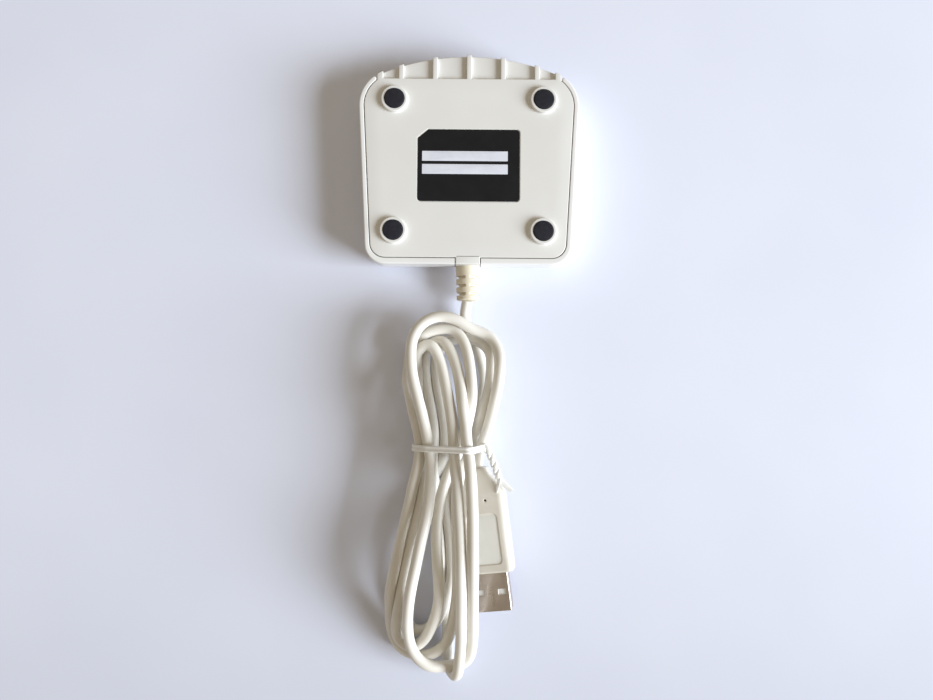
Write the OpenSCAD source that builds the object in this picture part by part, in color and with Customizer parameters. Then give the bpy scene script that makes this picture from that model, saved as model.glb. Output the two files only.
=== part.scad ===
// Smart card reader, lying on its top cover with its feet up, with its USB cable tied in a hank.
// +Z is up, +Y is the card side and -Y the cable side. Millimetres.

/* [Housing] */
// Width of the housing at its widest, near the card side
body_w = 72.2; // [66:0.1:80]
// Width of the housing at its rear corners
rear_w = 67.4; // [62:0.1:71]
// Depth of the housing from rear wall to the tip of the card tongue
body_d = 69; // [64:0.1:76]
// Radius of the front corners
front_corner_r = 12; // [8:0.5:14]
// Radius of the rear corners
rear_corner_r = 6.5; // [4:0.5:9]
// Radius of the arched front edge
front_arc_r = 76; // [60:1:100]
// Height from the top face to the outside of the base cover
case_h = 12.7; // [12.2:0.1:15]
// Wall of the top cover
wall = 1.5; // [1.2:0.1:2]
// Thickness of the top cover's plate
top_t = 1.6; // [1.2:0.1:1.8]
// Thickness of the base cover's plate
base_t = 1.6; // [1.2:0.1:2]
// Rounding of the top cover's lower edge
edge_r = 4; // [2:0.5:4]
// Draft of the housing's wall, from the rim down to the rounding
wall_draft = 0.25; // [0:0.05:0.4]
// Seam between base cover and top cover
seam = 0.25; // [0.15:0.05:0.4]

/* [Card slot] */
// Width of an ISO ID-1 card
card_w = 54; // [53.9:0.1:54.1]
// Height of the card slot
slot_h = 1.2; // [1:0.1:1.4]
// Height of the slot's lower face above the top face
slot_z = 7.4; // [7.2:0.1:8]
// Clearance on each side of the card
card_side_gap = 0.4; // [0.2:0.1:0.8]
// From the housing's side to the side of the card tongue
tongue_side_in = 5.9; // [5.6:0.1:7.1]
// From the tip of the tongue back to the base plate's straight front edge
plate_front_in = 7.9; // [6.5:0.1:10.5]
// Thickness of the tongue's plate
tongue_t = 2.8; // [2:0.1:3.2]
// Distance between the tongue's ribs
rib_pitch = 11.15; // [9:0.05:12]
// Width of the tongue's ribs
rib_w = 1.6; // [1:0.1:2]
// Width of the tongue's end walls
tongue_end_w = 1.9; // [1.4:0.1:2.4]

/* [Feet and label] */
// From the housing's side to the middle of a foot
foot_side_in = 11.7; // [10:0.1:14]
// From the rear wall to the middle of a rear foot
foot_rear_in = 10.8; // [9.5:0.1:12]
// From the tip of the tongue to the middle of a front foot
foot_front_in = 15; // [13.5:0.1:18]
// Diameter of a rubber foot
foot_d = 6.5; // [5:0.1:7]
// Thickness of a rubber foot
foot_t = 1.2; // [0.9:0.1:1.3]
// Diameter of the boss round a foot
boss_d = 8.6; // [8:0.1:10]
// Height of a boss over the base plate
boss_h = 1.4; // [1.3:0.1:2]
// Depth of a foot's pocket
foot_pocket = 0.8; // [0.5:0.1:0.9]
// Width of the rating label
label_w = 33.3; // [30:0.1:36]
// Height of the rating label
label_h = 23.7; // [20:0.1:26]
// Thickness of the rating label
label_t = 0.15; // [0.1:0.05:0.3]
// Depth of the label's recess
label_recess = 0.2; // [0.15:0.05:0.4]

/* [Electronics] */
// From the housing's side to the side of the main board
board_side_in = 7.1; // [6.6:0.1:9]
// From the rear wall to the rear edge of the board
board_rear_in = 8.5; // [8:0.1:9]
// From the tip of the tongue to the front edge of the board
board_front_in = 17.5; // [16.5:0.1:20]
// Thickness of the main board
board_t = 1.6; // [1.2:0.2:1.6]
// Height of the board's stand-offs
standoff_h = 1.8; // [1.6:0.1:2]
// Width of the card connector's frame
frame_w = 34; // [30:0.5:38]
// Length of the card connector's frame in front of the card's stop
frame_len = 29; // [28:0.5:31]
// From the rear wall to the stop for the card's leading edge
card_stop_in = 18.5; // [17.5:0.1:19.5]
// Length of a contact spring
contact_len = 8; // [7:0.1:8.5]
// Width of a contact spring
contact_w = 1; // [0.8:0.1:1.2]
// Thickness of a contact spring
contact_t = 0.2; // [0.15:0.05:0.3]

/* [Cable] */
// Diameter of the USB cable
cable_d = 3.6; // [3.4:0.1:4.2]
// Height of the cable's axis where it leaves the housing
cable_axis_z = 6.1; // [6:0.1:6.3]
// Diameter of the strain relief at the housing
relief_d = 8; // [7.5:0.1:8.2]
// Diameter of the strain relief at its free end
relief_end_d = 7.2; // [6.6:0.1:7.6]
// Length of the strain relief outside the housing
relief_len = 11.3; // [10:0.1:12]
// Rings of the strain relief past its first block
relief_rings = 3; // [2:1:4]

/* [Hank] */
// Distance across from one turn of the hank to the next
hank_step = 4.75; // [4.75:0.05:4.9]
// Height from the lower to the upper layer of the hank
hank_layer_h = 4.6; // [4.6:0.05:5]
// Half width of the hank's outer turn at its ends
hank_half_w = 16.4; // [16:0.1:17.5]
// Length of the hank's runs
hank_run = 84; // [80:1:86]
// Start of the hank's runs, from the middle of the housing
hank_top_y = -69.6; // [-71:0.1:-69]

/* [Plug] */
// Width of the plug's shell
shell_w = 12; // [11.9:0.1:12.1]
// Height of the plug's shell
shell_h = 4.5; // [4.4:0.1:4.6]
// Length of the shell past the grip
shell_len = 12.6; // [12:0.1:13.5]
// Wall of the shell
shell_t = 0.35; // [0.25:0.05:0.4]
// Width of the plug's grip
grip_w = 16.4; // [15.6:0.1:17]
// Height of the plug's grip
grip_h = 8; // [7.6:0.1:8.4]
// Length of the grip at full width
grip_len = 26; // [24:0.5:28]
// Length of the grip's tapered end
grip_taper = 8; // [7:0.5:9]
// Turn of the plug away from the housing's axis
plug_lean = 7.6; // [7.4:0.1:7.8]
// Roll of the plug about its own axis
plug_roll = 10; // [9:0.5:11]

/* [Hidden] */

$fn = 48;
// Overrun of every cut
cut = 0.1;
// Gap between pieces that are fitted loosely
fit = 0.1;
// Gap round a moving contact
move_gap = 0.4;

// Housing values that follow
front_corner_x = body_w / 2 - front_corner_r;
front_arc_y = body_d / 2 - front_arc_r;
front_corner_y = front_arc_y + sqrt(pow(front_arc_r - front_corner_r, 2) - pow(front_corner_x, 2));
rear_corner_x = rear_w / 2 - rear_corner_r;
rear_wall_y = -body_d / 2;
front_tip_y = body_d / 2;
rear_corner_y = rear_wall_y + rear_corner_r;
plate_front_y = front_tip_y - plate_front_in;
tongue_w = body_w - 2 * tongue_side_in;
card_stop_y = rear_wall_y + card_stop_in;
base_z = case_h - base_t;
rim_round = 0.4;
rim_round_inset_share = 0.7;
edge_step_shares = [0, 0.15, 0.5, 1];
base_inset = wall + seam;
rear_rim = 0.45;
tab_w = relief_d + 2 * seam;
tab_len = base_inset + rear_rim + seam;
tongue_z = slot_z + slot_h;
card_half = card_w / 2 + card_side_gap;
rail_w = 1.2;
rail_rear_y = card_stop_y;
guide_w = 1.2;
ledge_w = 0.7;
edge_chamfer = 0.3;

// Feet, screws and posts
foot_span_x = body_w - 2 * foot_side_in;
foot_rear_y = rear_wall_y + foot_rear_in;
foot_front_y = front_tip_y - foot_front_in;
post_d = 5.2;
post_shoulder_d = 7;
post_bore_d = 1.8;
screw_shank_hole_d = 2.6;
screw_head_d = 4;
screw_head_h = 1.1;
screw_len = 8;
screw_head_pocket_d = 4.4;
screw_slot_w = 0.6;
screw_slot_depth = 0.5;
foot_z = case_h + boss_h - foot_pocket;
screw_seat_z = foot_z - screw_head_h - fit;
peg_d = 2;

// Label, in the middle of the four feet
label_y = (foot_front_y + foot_rear_y) / 2;
label_corner_r = 1.1;
label_chamfer_x = 3.5;
label_chamfer_y = 2.9;
label_margin = 0.3;
field_w = 28;
field_h = 3.25;
field_t = 0.05;
field_x = -1.2;
field_upper_y = 3.05;
field_lower_y = -1.25;

// Board and connector
board_w = body_w - 2 * board_side_in;
board_rear_y = rear_wall_y + board_rear_in;
board_front_y = front_tip_y - board_front_in;
board_z = top_t + standoff_h;
board_top = board_z + board_t;
frame_h = 2.1;
frame_front_y = card_stop_y + frame_len;
stop_w = 1.3;
contact_pitch = 2.54;
contact_offset_x = 3.1;
contact_places = [for (i = [-1.5 : 1.5]) contact_offset_x + i * contact_pitch];
contact_row_in = 11.25;
contact_row_out = 18.87;
contact_root_z = board_top + 1.2;
contact_tip_z = slot_z + 0.8;
contact_tip_r = 0.5;
contact_tail_w = 0.6;
contact_tail_t = 0.3;
contact_tail_len = 1.4;
blade_t = 0.25;
blade_len = 7;
blade_x = -12;
blade_root_z = board_top + 0.8;
blade_lead = 0.7;
post_w = 1.4;
post_t = 0.4;
post_gap = 1;
chip_w = 7;
chip_h = 1.1;
chip_x = -14;
chip_front_in = 5.5;
chip_y = board_front_y - chip_front_in;
lead_count = 8;
lead_pitch = 0.8;
lead_w = 0.35;
lead_reach = 1;
lead_t = 0.3;
crystal_l = 9;
crystal_w = 3.8;
crystal_h = 1.5;
crystal_x = 10;
crystal_front_in = 5.5;
crystal_y = board_front_y - crystal_front_in;
chip_part_x = -14.5;
chip_part_l = 2;
chip_part_w = 1.25;
chip_part_h = 0.6;
chip_part_pitch = 3.2;
chip_part_count = 5;
chip_part_front_in = 19;
led_w = 1.6;
led_l = 2.6;
led_h = 0.8;
pipe_d = 3;
pipe_flange_d = 4.6;
pipe_flange_t = 0.7;
pipe_front_in = 11;
pipe_y = board_front_y - pipe_front_in;
header_w = 8;
header_d = 4.2;
header_h = 3.4;
header_x = -13;
header_wall = 0.6;
housing_h = 2.4;
wire_d = 1.1;
wire_pitch = 1.6;
wire_exit_pitch = 1.26;
wire_count = 4;
header_rear_in = 1.2;
header_front_y = board_rear_y + header_rear_in + header_d;

// Strain relief and cable
relief_block_len = 3.1;
relief_groove = 0.9;
relief_groove_depth = 1;
relief_web_w = 2;
flange_w = 10;
flange_t = 1.4;
relief_inner_len = wall + rear_rim + ledge_w + fit + flange_t;
relief_end_y = rear_wall_y - relief_len;
relief_edge = 0.4;

// Route of the lead from the strain relief to the hank, as chosen by hand
lead_points = [[0, relief_end_y, cable_axis_z], [0, -47.6, 6.1], [0.1, -49.5, 6.1], [0.8, -52, 6.2],
    [2.4, -54.4, 6.3], [4.8, -56.6, 6.4], [7.4, -58.6, 6.5], [9.6, -60.8, 6.6], [10.8, -63, 6.7]];
// Route of the tail from the hank to the plug, as chosen by hand
tail_points = [[9.1, -77, 2.1], [8.5, -81, 2.1], [7.3, -85, 2.1], [6, -89, 2.2],
    [4.7, -92.6, 3], [3.8, -95.4, 4.2], [3.2, -97.6, 5], [2.8, -99.6, 5.4]];

// Hank: stations along a run, from the top turn to the bottom turn
hank_stations = 6;
upper_axis_x = -5.2;
lower_axis_x = -5.2;
upper_lean = 6.5;
lower_lean = 9.6;
hank_pinch = 2.7;
plug_rise = 5;
hank_lift = 8;
pinch_shares = [0, 0.55, 1, 0.85, 0.5, 0.2, 0];
upper_lean_shares = [0, 0.08, 0.2, 0.55, 0.85, 1, 1];
lower_lean_shares = [0, 0.2, 0.62, 0.95, 1, 1, 0.95];
rise_shares = [0, 0.05, 0.85, 1, 1, 1, 0.6];
lift_shares = [0, 0.5, 0.95, 1, 0.9, 0.5, 0];
hank_turns = 5;
hank_reverse = 2.72;
climb_from = 2.71;
climb_to = 2.75;
hank_rings = 24;
hank_sides = 6;
lead_joined = 3;
hank_bottom_z = cable_d / 2 + cut;
lead_sides = 8;

// Plug place and parts
plug_x = 7.05;
plug_y = -134.2;
plug_z = 5.5;
grip_round = 2.2;
grip_end_w = 6.4;
grip_end_h = 6;
grip_panel_w = 9.6;
grip_panel_l = 15.4;
grip_panel_depth = 0.3;
grip_panel_r = 1.4;
grip_mark_z = grip_h / 2 - grip_panel_depth;
grip_panel_y = 2.9;
grip_dot_d = 0.8;
grip_dot_y = 22;
grip_dot_x = 1.9;
shell_r = 0.5;
shell_in = 4;
window_w = 2.5;
window_l = 1.95;
window_x = 2.25;
window_y = 5.16;
insulator_w = shell_w - 2 * shell_t - 2 * shell_r;
insulator_t = 1.85;
insulator_back = 0.6;
plug_contact_w = 1;
plug_contact_l = 7.4;
plug_contact_t = 0.2;
plug_contact_x = [-3.5, -1, 1, 3.5];

// Tie
tie_y = -94.4;
tie_w = 2.1;
tie_t = 0.6;
tie_gap = 0.8;
tail_at_tie = [4.35, tie_y, 3.6];
tie_wire_r = 1.15;
tie_edge_turn = 0.75;
tie_top_turn = 2;
tie_left_turn = 4.75;
tie_points = [[12.1, -94.4, 16.6], [13.1, -96.2, 16.6], [14.2, -99, 16.4], [15.1, -102, 16.2],
    [15.8, -104.6, 16]];
tie_end_points = [[15.8, -104.6, 16], [17.3, -106.4, 15.8], [18.8, -108, 15.6]];
tie_stub_points = [[15.8, -104.6, 16], [15.4, -107, 15.8], [14.6, -109, 15.6]];

// Round-cornered outline from a list of circles [x, y, r] that run anticlockwise
function link(a, b) =
    let (d = [b[0] - a[0], b[1] - a[1]], l = norm(d), t = d / l, s = (a[2] - b[2]) / l,
         n = [t[1], -t[0]] * sqrt(1 - s * s) + t * s)
    [[a[0], a[1]] + n * a[2], [b[0], b[1]] + n * b[2]];
function ring_points(c) = [for (i = [0 : len(c) - 1]) each link(c[i], c[(i + 1) % len(c)])];
module round_outline(c) {
    polygon(ring_points(c));
    for (k = c) translate([k[0], k[1]]) circle(k[2]);
}

// Plan of the housing, drawn in by t
function housing_circles(t) = [
    [front_corner_x, front_corner_y, front_corner_r - t],
    [-front_corner_x, front_corner_y, front_corner_r - t],
    [-rear_corner_x, rear_corner_y, rear_corner_r - t],
    [rear_corner_x, rear_corner_y, rear_corner_r - t]];
module housing_plan(t) {
    u = [front_corner_x, front_corner_y - front_arc_y] / (front_arc_r - front_corner_r);
    p = [front_corner_x, front_corner_y] + u * (front_corner_r - t);
    round_outline(housing_circles(t));
    intersection() {
        translate([0, front_arc_y]) circle(front_arc_r - t, $fn = 200);
        polygon([[-p[0], p[1]], [-p[0], front_corner_y], [p[0], front_corner_y], [p[0], p[1]],
            [p[0], body_d], [-p[0], body_d]]);
    }
}

// Plan of the base cover's plate inside the rim, the rim being wider along the rear wall
module base_plan(t) {
    intersection() {
        housing_plan(t);
        translate([-body_w, rear_wall_y + t + rear_rim]) square([2 * body_w, body_d]);
    }
}

// Tube with flat ends through a list of points, with a level or square start
function tube_dir(p, i) =
    let (n = len(p), a = p[max(i - 1, 0)], b = p[min(i + 1, n - 1)]) (b - a) / norm(b - a);
function tube_ring(c, d, r, sides) =
    let (h = cross(d, [0, 0, 1]), s = h / norm(h), u = cross(s, d))
    [for (k = [0 : sides - 1]) let (a = 360 * (k + 0.5) / sides) c + r * (s * cos(a) + u * sin(a))];
module tube(p, r, sides, dirs) {
    n = len(p);
    pts = [for (i = [0 : n - 1]) each tube_ring(p[i], dirs[i], r, sides)];
    faces = concat(
        [for (i = [0 : n - 2]) for (k = [0 : sides - 1]) each [
            [i * sides + k, i * sides + (k + 1) % sides, (i + 1) * sides + k],
            [i * sides + (k + 1) % sides, (i + 1) * sides + (k + 1) % sides, (i + 1) * sides + k]]],
        [[for (k = [sides - 1 : -1 : 0]) k]],
        [[for (k = [0 : sides - 1]) (n - 1) * sides + k]]);
    polyhedron(pts, faces);
}
function middle_dirs(p) = [for (i = [0 : len(p) - 1]) tube_dir(p, i)];
function square_ends(p, first, last) =
    [for (i = [0 : len(p) - 1]) i == 0 ? first : (i == len(p) - 1 ? last : tube_dir(p, i))];

// Centre line of the hank. A turn is a run down, the bottom turn, a run up and the top turn.
function at_station(s, t) =
    let (x = t * hank_stations, i = min(floor(x), hank_stations - 1), f = x - i)
    s[i] * (1 - f) + s[i + 1] * f;
function hank_index(n) = n < hank_reverse ? n : 2 * hank_reverse - n;
function hank_climb(n) = n < climb_from ? 1 : (n >= climb_to ? 0 : (climb_to - n) / (climb_to - climb_from));
function hank_side(f) = f <= 0.25 ? 1 : (f <= 0.5 ? cos(180 * (f - 0.25) / 0.25) :
    (f <= 0.75 ? -1 : -cos(180 * (f - 0.75) / 0.25)));
function hank_out(f) = f <= 0.25 ? 0 : (f <= 0.5 ? -sin(180 * (f - 0.25) / 0.25) :
    (f <= 0.75 ? 0 : sin(180 * (f - 0.75) / 0.25)));
function hank_along(f) = f <= 0.25 ? 4 * f : (f <= 0.5 ? 1 : (f <= 0.75 ? 1 - 4 * (f - 0.5) : 0));
function hank_point(n) =
    let (f = n - floor(n + 0.001), t = hank_along(f), up = hank_climb(n),
         half = hank_half_w - hank_pinch * at_station(pinch_shares, t) - hank_step * hank_index(n),
         axis = up * (upper_axis_x - upper_lean * at_station(upper_lean_shares, t))
             + (1 - up) * (lower_axis_x - lower_lean * at_station(lower_lean_shares, t)),
         side = hank_side(f),
         rise = up * plug_rise * at_station(rise_shares, t) * (side + 1) / 2)
    [axis + half * side,
     hank_top_y - hank_run * t + half * hank_out(f),
     hank_bottom_z + hank_lift * at_station(lift_shares, t) + hank_layer_h * up + rise];
hank_line = [for (i = [0 : hank_turns * hank_rings]) hank_point(i / hank_rings)];
hank_start = hank_line[0] + [0, cable_d, 0];
hank_end = hank_line[len(hank_line) - 1] - [0, cable_d, 0];
hank_points = concat([hank_start], hank_line, [hank_end]);
lead_line = concat(lead_points, [hank_start]);
tail_line = concat([hank_end], tail_points);

// Least gap of the hank to itself, from points of one turn to the pieces of line of the others
function to_segment(p, a, b) =
    let (d = b - a, t = max(0, min(1, (p - a) * d / (d * d)))) norm(p - a - d * t);
function hank_gap() = min([for (i = [0 : len(hank_points) - 1])
    for (j = [i + 6 : 1 : len(hank_points) - 2])
        to_segment(hank_points[i], hank_points[j], hank_points[j + 1])]) - cable_d;
function gap_between(p, q) = min([for (a = p) for (j = [0 : len(q) - 2])
    to_segment(a, q[j], q[j + 1])]) - cable_d;
echo(hank_gap = hank_gap());
echo(lead_gap = gap_between([for (i = [0 : len(lead_points) - lead_joined]) lead_points[i]], hank_line));
echo(tail_gap = gap_between(tail_points, [for (i = [0 : len(hank_line) - 4]) hank_line[i]]));
function line_length(p) = len(p) < 2 ? 0 : [for (i = 0, s = 0; i < len(p);
    s = s + (i < len(p) - 1 ? norm(p[i + 1] - p[i]) : 0), i = i + 1) s][len(p) - 1];
echo(cable_length = line_length(lead_line) + line_length(hank_points) + line_length(tail_line));

// Base cover with its feet bosses, tab over the cable and ribbed card tongue
module base_plate() {
    difference() {
        union() {
            translate([0, 0, base_z]) linear_extrude(base_t - edge_chamfer) base_front_plan(base_inset);
            translate([0, 0, case_h - edge_chamfer]) linear_extrude(edge_chamfer)
                base_front_plan(base_inset + edge_chamfer / 2);
        }
        label_pocket();
    }
}
module base_front_plan(t) {
    intersection() {
        base_plan(t);
        translate([-body_w, -body_d]) square([2 * body_w, body_d + plate_front_y]);
    }
}
module label_plan(margin) {
    w = label_w / 2 + margin;
    h = label_h / 2 + margin;
    c = label_corner_r + margin;
    difference() {
        round_outline([[w - c, h - c, c], [c - w, h - c, c], [c - w, c - h, c], [w - c, c - h, c]]);
        polygon([[-w - cut, h + cut], [-w - cut, h - label_chamfer_y], [-w, h - label_chamfer_y],
            [-w + label_chamfer_x, h], [-w + label_chamfer_x, h + cut]]);
    }
}
module label_pocket() {
    translate([0, label_y, case_h - label_recess]) linear_extrude(label_recess + cut)
        label_plan(label_margin);
}
module foot_places() {
    for (x = [-1, 1]) for (y = [foot_rear_y, foot_front_y]) translate([x * foot_span_x / 2, y, 0]) children();
}
module screw_places() {
    for (x = [-1, 1]) translate([x * foot_span_x / 2, foot_rear_y, 0]) children();
}
module tongue_plan() {
    intersection() {
        housing_plan(0);
        translate([-tongue_w / 2, plate_front_y - base_t]) square([tongue_w, body_d]);
    }
}
module tongue() {
    translate([0, 0, tongue_z]) linear_extrude(tongue_t) tongue_plan();
    translate([0, 0, tongue_z]) linear_extrude(case_h - tongue_z) intersection() {
        tongue_plan();
        union() {
            translate([-tongue_w / 2, 0]) square([tongue_w, plate_front_y]);
            for (x = [-2 : 2]) translate([x * rib_pitch - rib_w / 2, 0]) square([rib_w, body_d]);
            for (x = [0, 1]) mirror([x, 0]) translate([tongue_w / 2 - tongue_end_w, 0])
                square([tongue_end_w, body_d]);
        }
    }
}
module card_rails() {
    l = plate_front_y - base_t - rail_rear_y;
    translate([0, 0, slot_z]) linear_extrude(base_z - slot_z + cut) intersection() {
        base_plan(wall + ledge_w + fit);
        for (x = [0, 1]) mirror([x, 0]) translate([card_half, rail_rear_y]) square([rail_w, l]);
    }
    for (x = [-2 : 2]) translate([x * rib_pitch - guide_w / 2, rail_rear_y, tongue_z])
        cube([guide_w, l, base_z - tongue_z + cut]);
}
module base_cover() {
    color("#dedddc") difference() {
        union() {
            base_plate();
            foot_places() translate([0, 0, case_h - base_t]) cylinder(d = boss_d, h = base_t + boss_h);
            tongue();
            card_rails();
            translate([-tab_w / 2 + seam, rear_wall_y, cable_axis_z])
                cube([tab_w - 2 * seam, tab_len, case_h - cable_axis_z]);
        }
        translate([0, rear_wall_y + tab_len + cut, cable_axis_z]) rotate([90, 0, 0])
            cylinder(d = relief_d + 2 * fit, h = tab_len + 2 * cut);
        foot_places() translate([0, 0, foot_z]) cylinder(d = foot_d + 2 * fit, h = foot_pocket + cut);
        screw_places() translate([0, 0, screw_seat_z]) cylinder(d = screw_head_pocket_d, h = case_h);
        screw_places() translate([0, 0, base_z - cut]) cylinder(d = screw_shank_hole_d, h = base_t + cut);
    }
}

// Top cover: rounded shell with the lip of the card slot, posts for the screws and pegs for the board
module shell_solid() {
    hull() {
        for (s = edge_step_shares)
            translate([0, 0, edge_r * (1 - sqrt(1 - pow(1 - s, 2)))]) linear_extrude(cut)
                housing_plan(wall_draft + edge_r * (1 - s), $fn = 32);
        translate([0, 0, case_h - rim_round]) linear_extrude(cut) housing_plan(0, $fn = 32);
        translate([0, 0, case_h - cut]) linear_extrude(cut)
            housing_plan(rim_round * rim_round_inset_share, $fn = 32);
    }
}
module cavity() {
    translate([0, 0, top_t]) linear_extrude(base_z - top_t) base_plan(wall + ledge_w);
    translate([0, 0, base_z]) linear_extrude(base_t + cut) base_plan(wall);
}
module tip_places() {
    reach = front_corner_r - wall / 2;
    x = tongue_w / 2 + seam + wall / 2 - front_corner_x;
    for (m = [0, 1]) mirror([m, 0, 0])
        translate([x + front_corner_x, front_corner_y + sqrt(reach * reach - x * x), 0]) children();
}
module peg_places() {
    for (x = [0, 1]) mirror([x, 0, 0])
        translate([board_w / 2 - peg_d, board_front_y - peg_d, 0]) children();
}
module top_cover() {
    mouth_w = tongue_w + 2 * seam;
    color("#f1f0ee") difference() {
        union() {
            difference() {
                shell_solid();
                cavity();
                translate([-mouth_w / 2 - wall / 2, front_corner_y, slot_z])
                    cube([mouth_w + wall, body_d, case_h]);
                translate([-card_half, 0, slot_z]) cube([2 * card_half, body_d, slot_h]);
                translate([-tab_w / 2, -body_d, cable_axis_z]) cube([tab_w, body_d, case_h]);
                translate([0, -body_d, cable_axis_z]) rotate([-90, 0, 0])
                    cylinder(d = relief_d + 2 * fit, h = body_d);
            }
            tip_places() translate([0, 0, slot_z]) cylinder(d = wall, h = case_h - rim_round - slot_z);
            screw_places() cylinder(d = post_shoulder_d, h = board_z);
            screw_places() cylinder(d = post_d, h = base_z);
            peg_places() cylinder(d = 2 * peg_d, h = board_z);
            peg_places() cylinder(d = peg_d - 2 * fit, h = board_top + fit);
        }
        screw_places() translate([0, 0, base_z - screw_len]) cylinder(d = post_bore_d, h = screw_len + cut);
        translate([0, pipe_y, -cut]) cylinder(d = pipe_d + 2 * fit, h = top_t + 2 * cut);
    }
}

// Rubber feet, screws and label
module foot_at(x, y) {
    color("#26262e") translate([x * foot_span_x / 2, y, foot_z])
        cylinder(d = foot_d, h = foot_t);
}
module case_screws() {
    color("silver") screw_places() difference() {
        union() {
            translate([0, 0, screw_seat_z]) cylinder(d = screw_head_d, h = screw_head_h);
            translate([0, 0, screw_seat_z - screw_len]) cylinder(d = post_bore_d, h = screw_len + cut);
        }
        l = screw_head_d - 2 * screw_slot_w;
        for (a = [0, 90]) rotate([0, 0, a])
            translate([-l / 2, -screw_slot_w / 2, screw_seat_z + screw_head_h - screw_slot_depth])
                cube([l, screw_slot_w, screw_slot_depth + cut]);
    }
}
module rating_label() {
    color("#17171a") translate([0, label_y, case_h - label_recess])
        linear_extrude(label_t) label_plan(0);
}
module label_fields() {
    color("#e4e6ee") for (y = [field_upper_y, field_lower_y])
        translate([field_x - field_w / 2, label_y + y - field_h / 2, case_h - label_recess + label_t])
            cube([field_w, field_h, field_t]);
}

// Main board and the parts on it
module main_board() {
    color("#1e6b45") difference() {
        translate([-board_w / 2, board_rear_y, board_z]) cube([board_w, board_front_y - board_rear_y, board_t]);
        screw_places() translate([0, 0, board_z - cut]) cylinder(d = post_d + 2 * fit, h = board_t + 2 * cut);
        peg_places() translate([0, 0, board_z - cut]) cylinder(d = peg_d, h = board_t + 2 * cut);
    }
}
module row_windows(y, dir) {
    tip_y = y - dir * (contact_tip_r + 2 * move_gap);
    root_y = y + dir * (contact_len + move_gap);
    for (x = contact_places)
        translate([x - contact_w / 2 - move_gap, min(tip_y, root_y), board_top + move_gap])
            cube([contact_w + 2 * move_gap, contact_len + contact_tip_r + 3 * move_gap, frame_h]);
}
module contact_frame() {
    color("#2b2b2f") difference() {
        union() {
            translate([-frame_w / 2, card_stop_y - stop_w, board_top])
                cube([frame_w, frame_front_y - card_stop_y + stop_w, frame_h]);
            translate([-frame_w / 2, card_stop_y - stop_w, board_top])
                cube([frame_w, stop_w, tongue_z - board_top]);
        }
        row_windows(card_stop_y + contact_row_out, 1);
        row_windows(card_stop_y + contact_row_in, -1);
        translate([blade_x - move_gap, card_stop_y - stop_w - cut, board_top + move_gap])
            cube([blade_len + 2 * move_gap, stop_w + blade_lead + 2 * move_gap + cut, tongue_z]);
    }
}
module contact_springs(y, dir) {
    color("#c9a24a") for (x = contact_places)
        translate([x - contact_w / 2, y, 0])
            rotate([90, 0, 90]) linear_extrude(contact_w) polygon([
                [dir * contact_len, contact_root_z], [dir * contact_tip_r, contact_tip_z - contact_t],
                [-dir * contact_tip_r, contact_tip_z - contact_tip_r - contact_t],
                [-dir * contact_tip_r, contact_tip_z - contact_tip_r],
                [0, contact_tip_z], [dir * contact_tip_r, contact_tip_z],
                [dir * contact_len, contact_root_z + contact_t]]);
}
module contact_row_front() contact_springs(card_stop_y + contact_row_out, 1);
module contact_row_rear() contact_springs(card_stop_y + contact_row_in, -1);
module contact_tails() {
    rear_tail_y = card_stop_y - stop_w - contact_tail_len;
    color("#c9a24a") for (y = [frame_front_y, rear_tail_y]) for (x = contact_places)
        translate([x - contact_tail_w / 2, y, board_top])
            cube([contact_tail_w, contact_tail_len, contact_tail_t]);
}
module detect_blade() {
    color("#c9a24a") translate([blade_x, card_stop_y + blade_lead - blade_t, blade_root_z])
        cube([blade_len, blade_t, tongue_z - move_gap - blade_root_z]);
}
module detect_post() {
    x = blade_x + blade_len - post_w;
    color("#c9a24a") translate([x, card_stop_y - post_gap - post_t, board_top + move_gap])
        cube([post_w, post_t, slot_z - board_top]);
}
module reader_chip() {
    color("#26282c") translate([chip_x - chip_w / 2, chip_y - chip_w / 2, board_z - chip_h])
        cube([chip_w, chip_w, chip_h]);
}
module chip_leads() {
    color("#b9bcc0") for (a = [0, 90, 180, 270])
        translate([chip_x, chip_y, board_z - lead_t]) rotate([0, 0, a]) for (i = [0 : lead_count - 1])
            translate([(i - (lead_count - 1) / 2) * lead_pitch - lead_w / 2, chip_w / 2, 0])
                cube([lead_w, lead_reach, lead_t]);
}
module crystal() {
    x = (crystal_l - crystal_w) / 2;
    color("#b9bcc0") translate([crystal_x, crystal_y, board_z - crystal_h]) linear_extrude(crystal_h)
        round_outline([[x, 0, crystal_w / 2], [-x, 0, crystal_w / 2]]);
}
module chip_parts() {
    color("#a98b5f") for (i = [0 : chip_part_count - 1])
        translate([chip_part_x + i * chip_part_pitch, board_front_y - chip_part_front_in,
                board_z - chip_part_h])
            cube([chip_part_w, chip_part_l, chip_part_h]);
}
module status_led() {
    color("#e8efe2") translate([-led_l / 2, pipe_y - led_w / 2, board_z - led_h]) cube([led_l, led_w, led_h]);
}
module light_pipe() {
    color("#d6e4dc") {
        translate([0, pipe_y, 0]) cylinder(d = pipe_d, h = top_t + fit);
        translate([0, pipe_y, top_t]) cylinder(d = pipe_flange_d, h = pipe_flange_t);
    }
}

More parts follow.
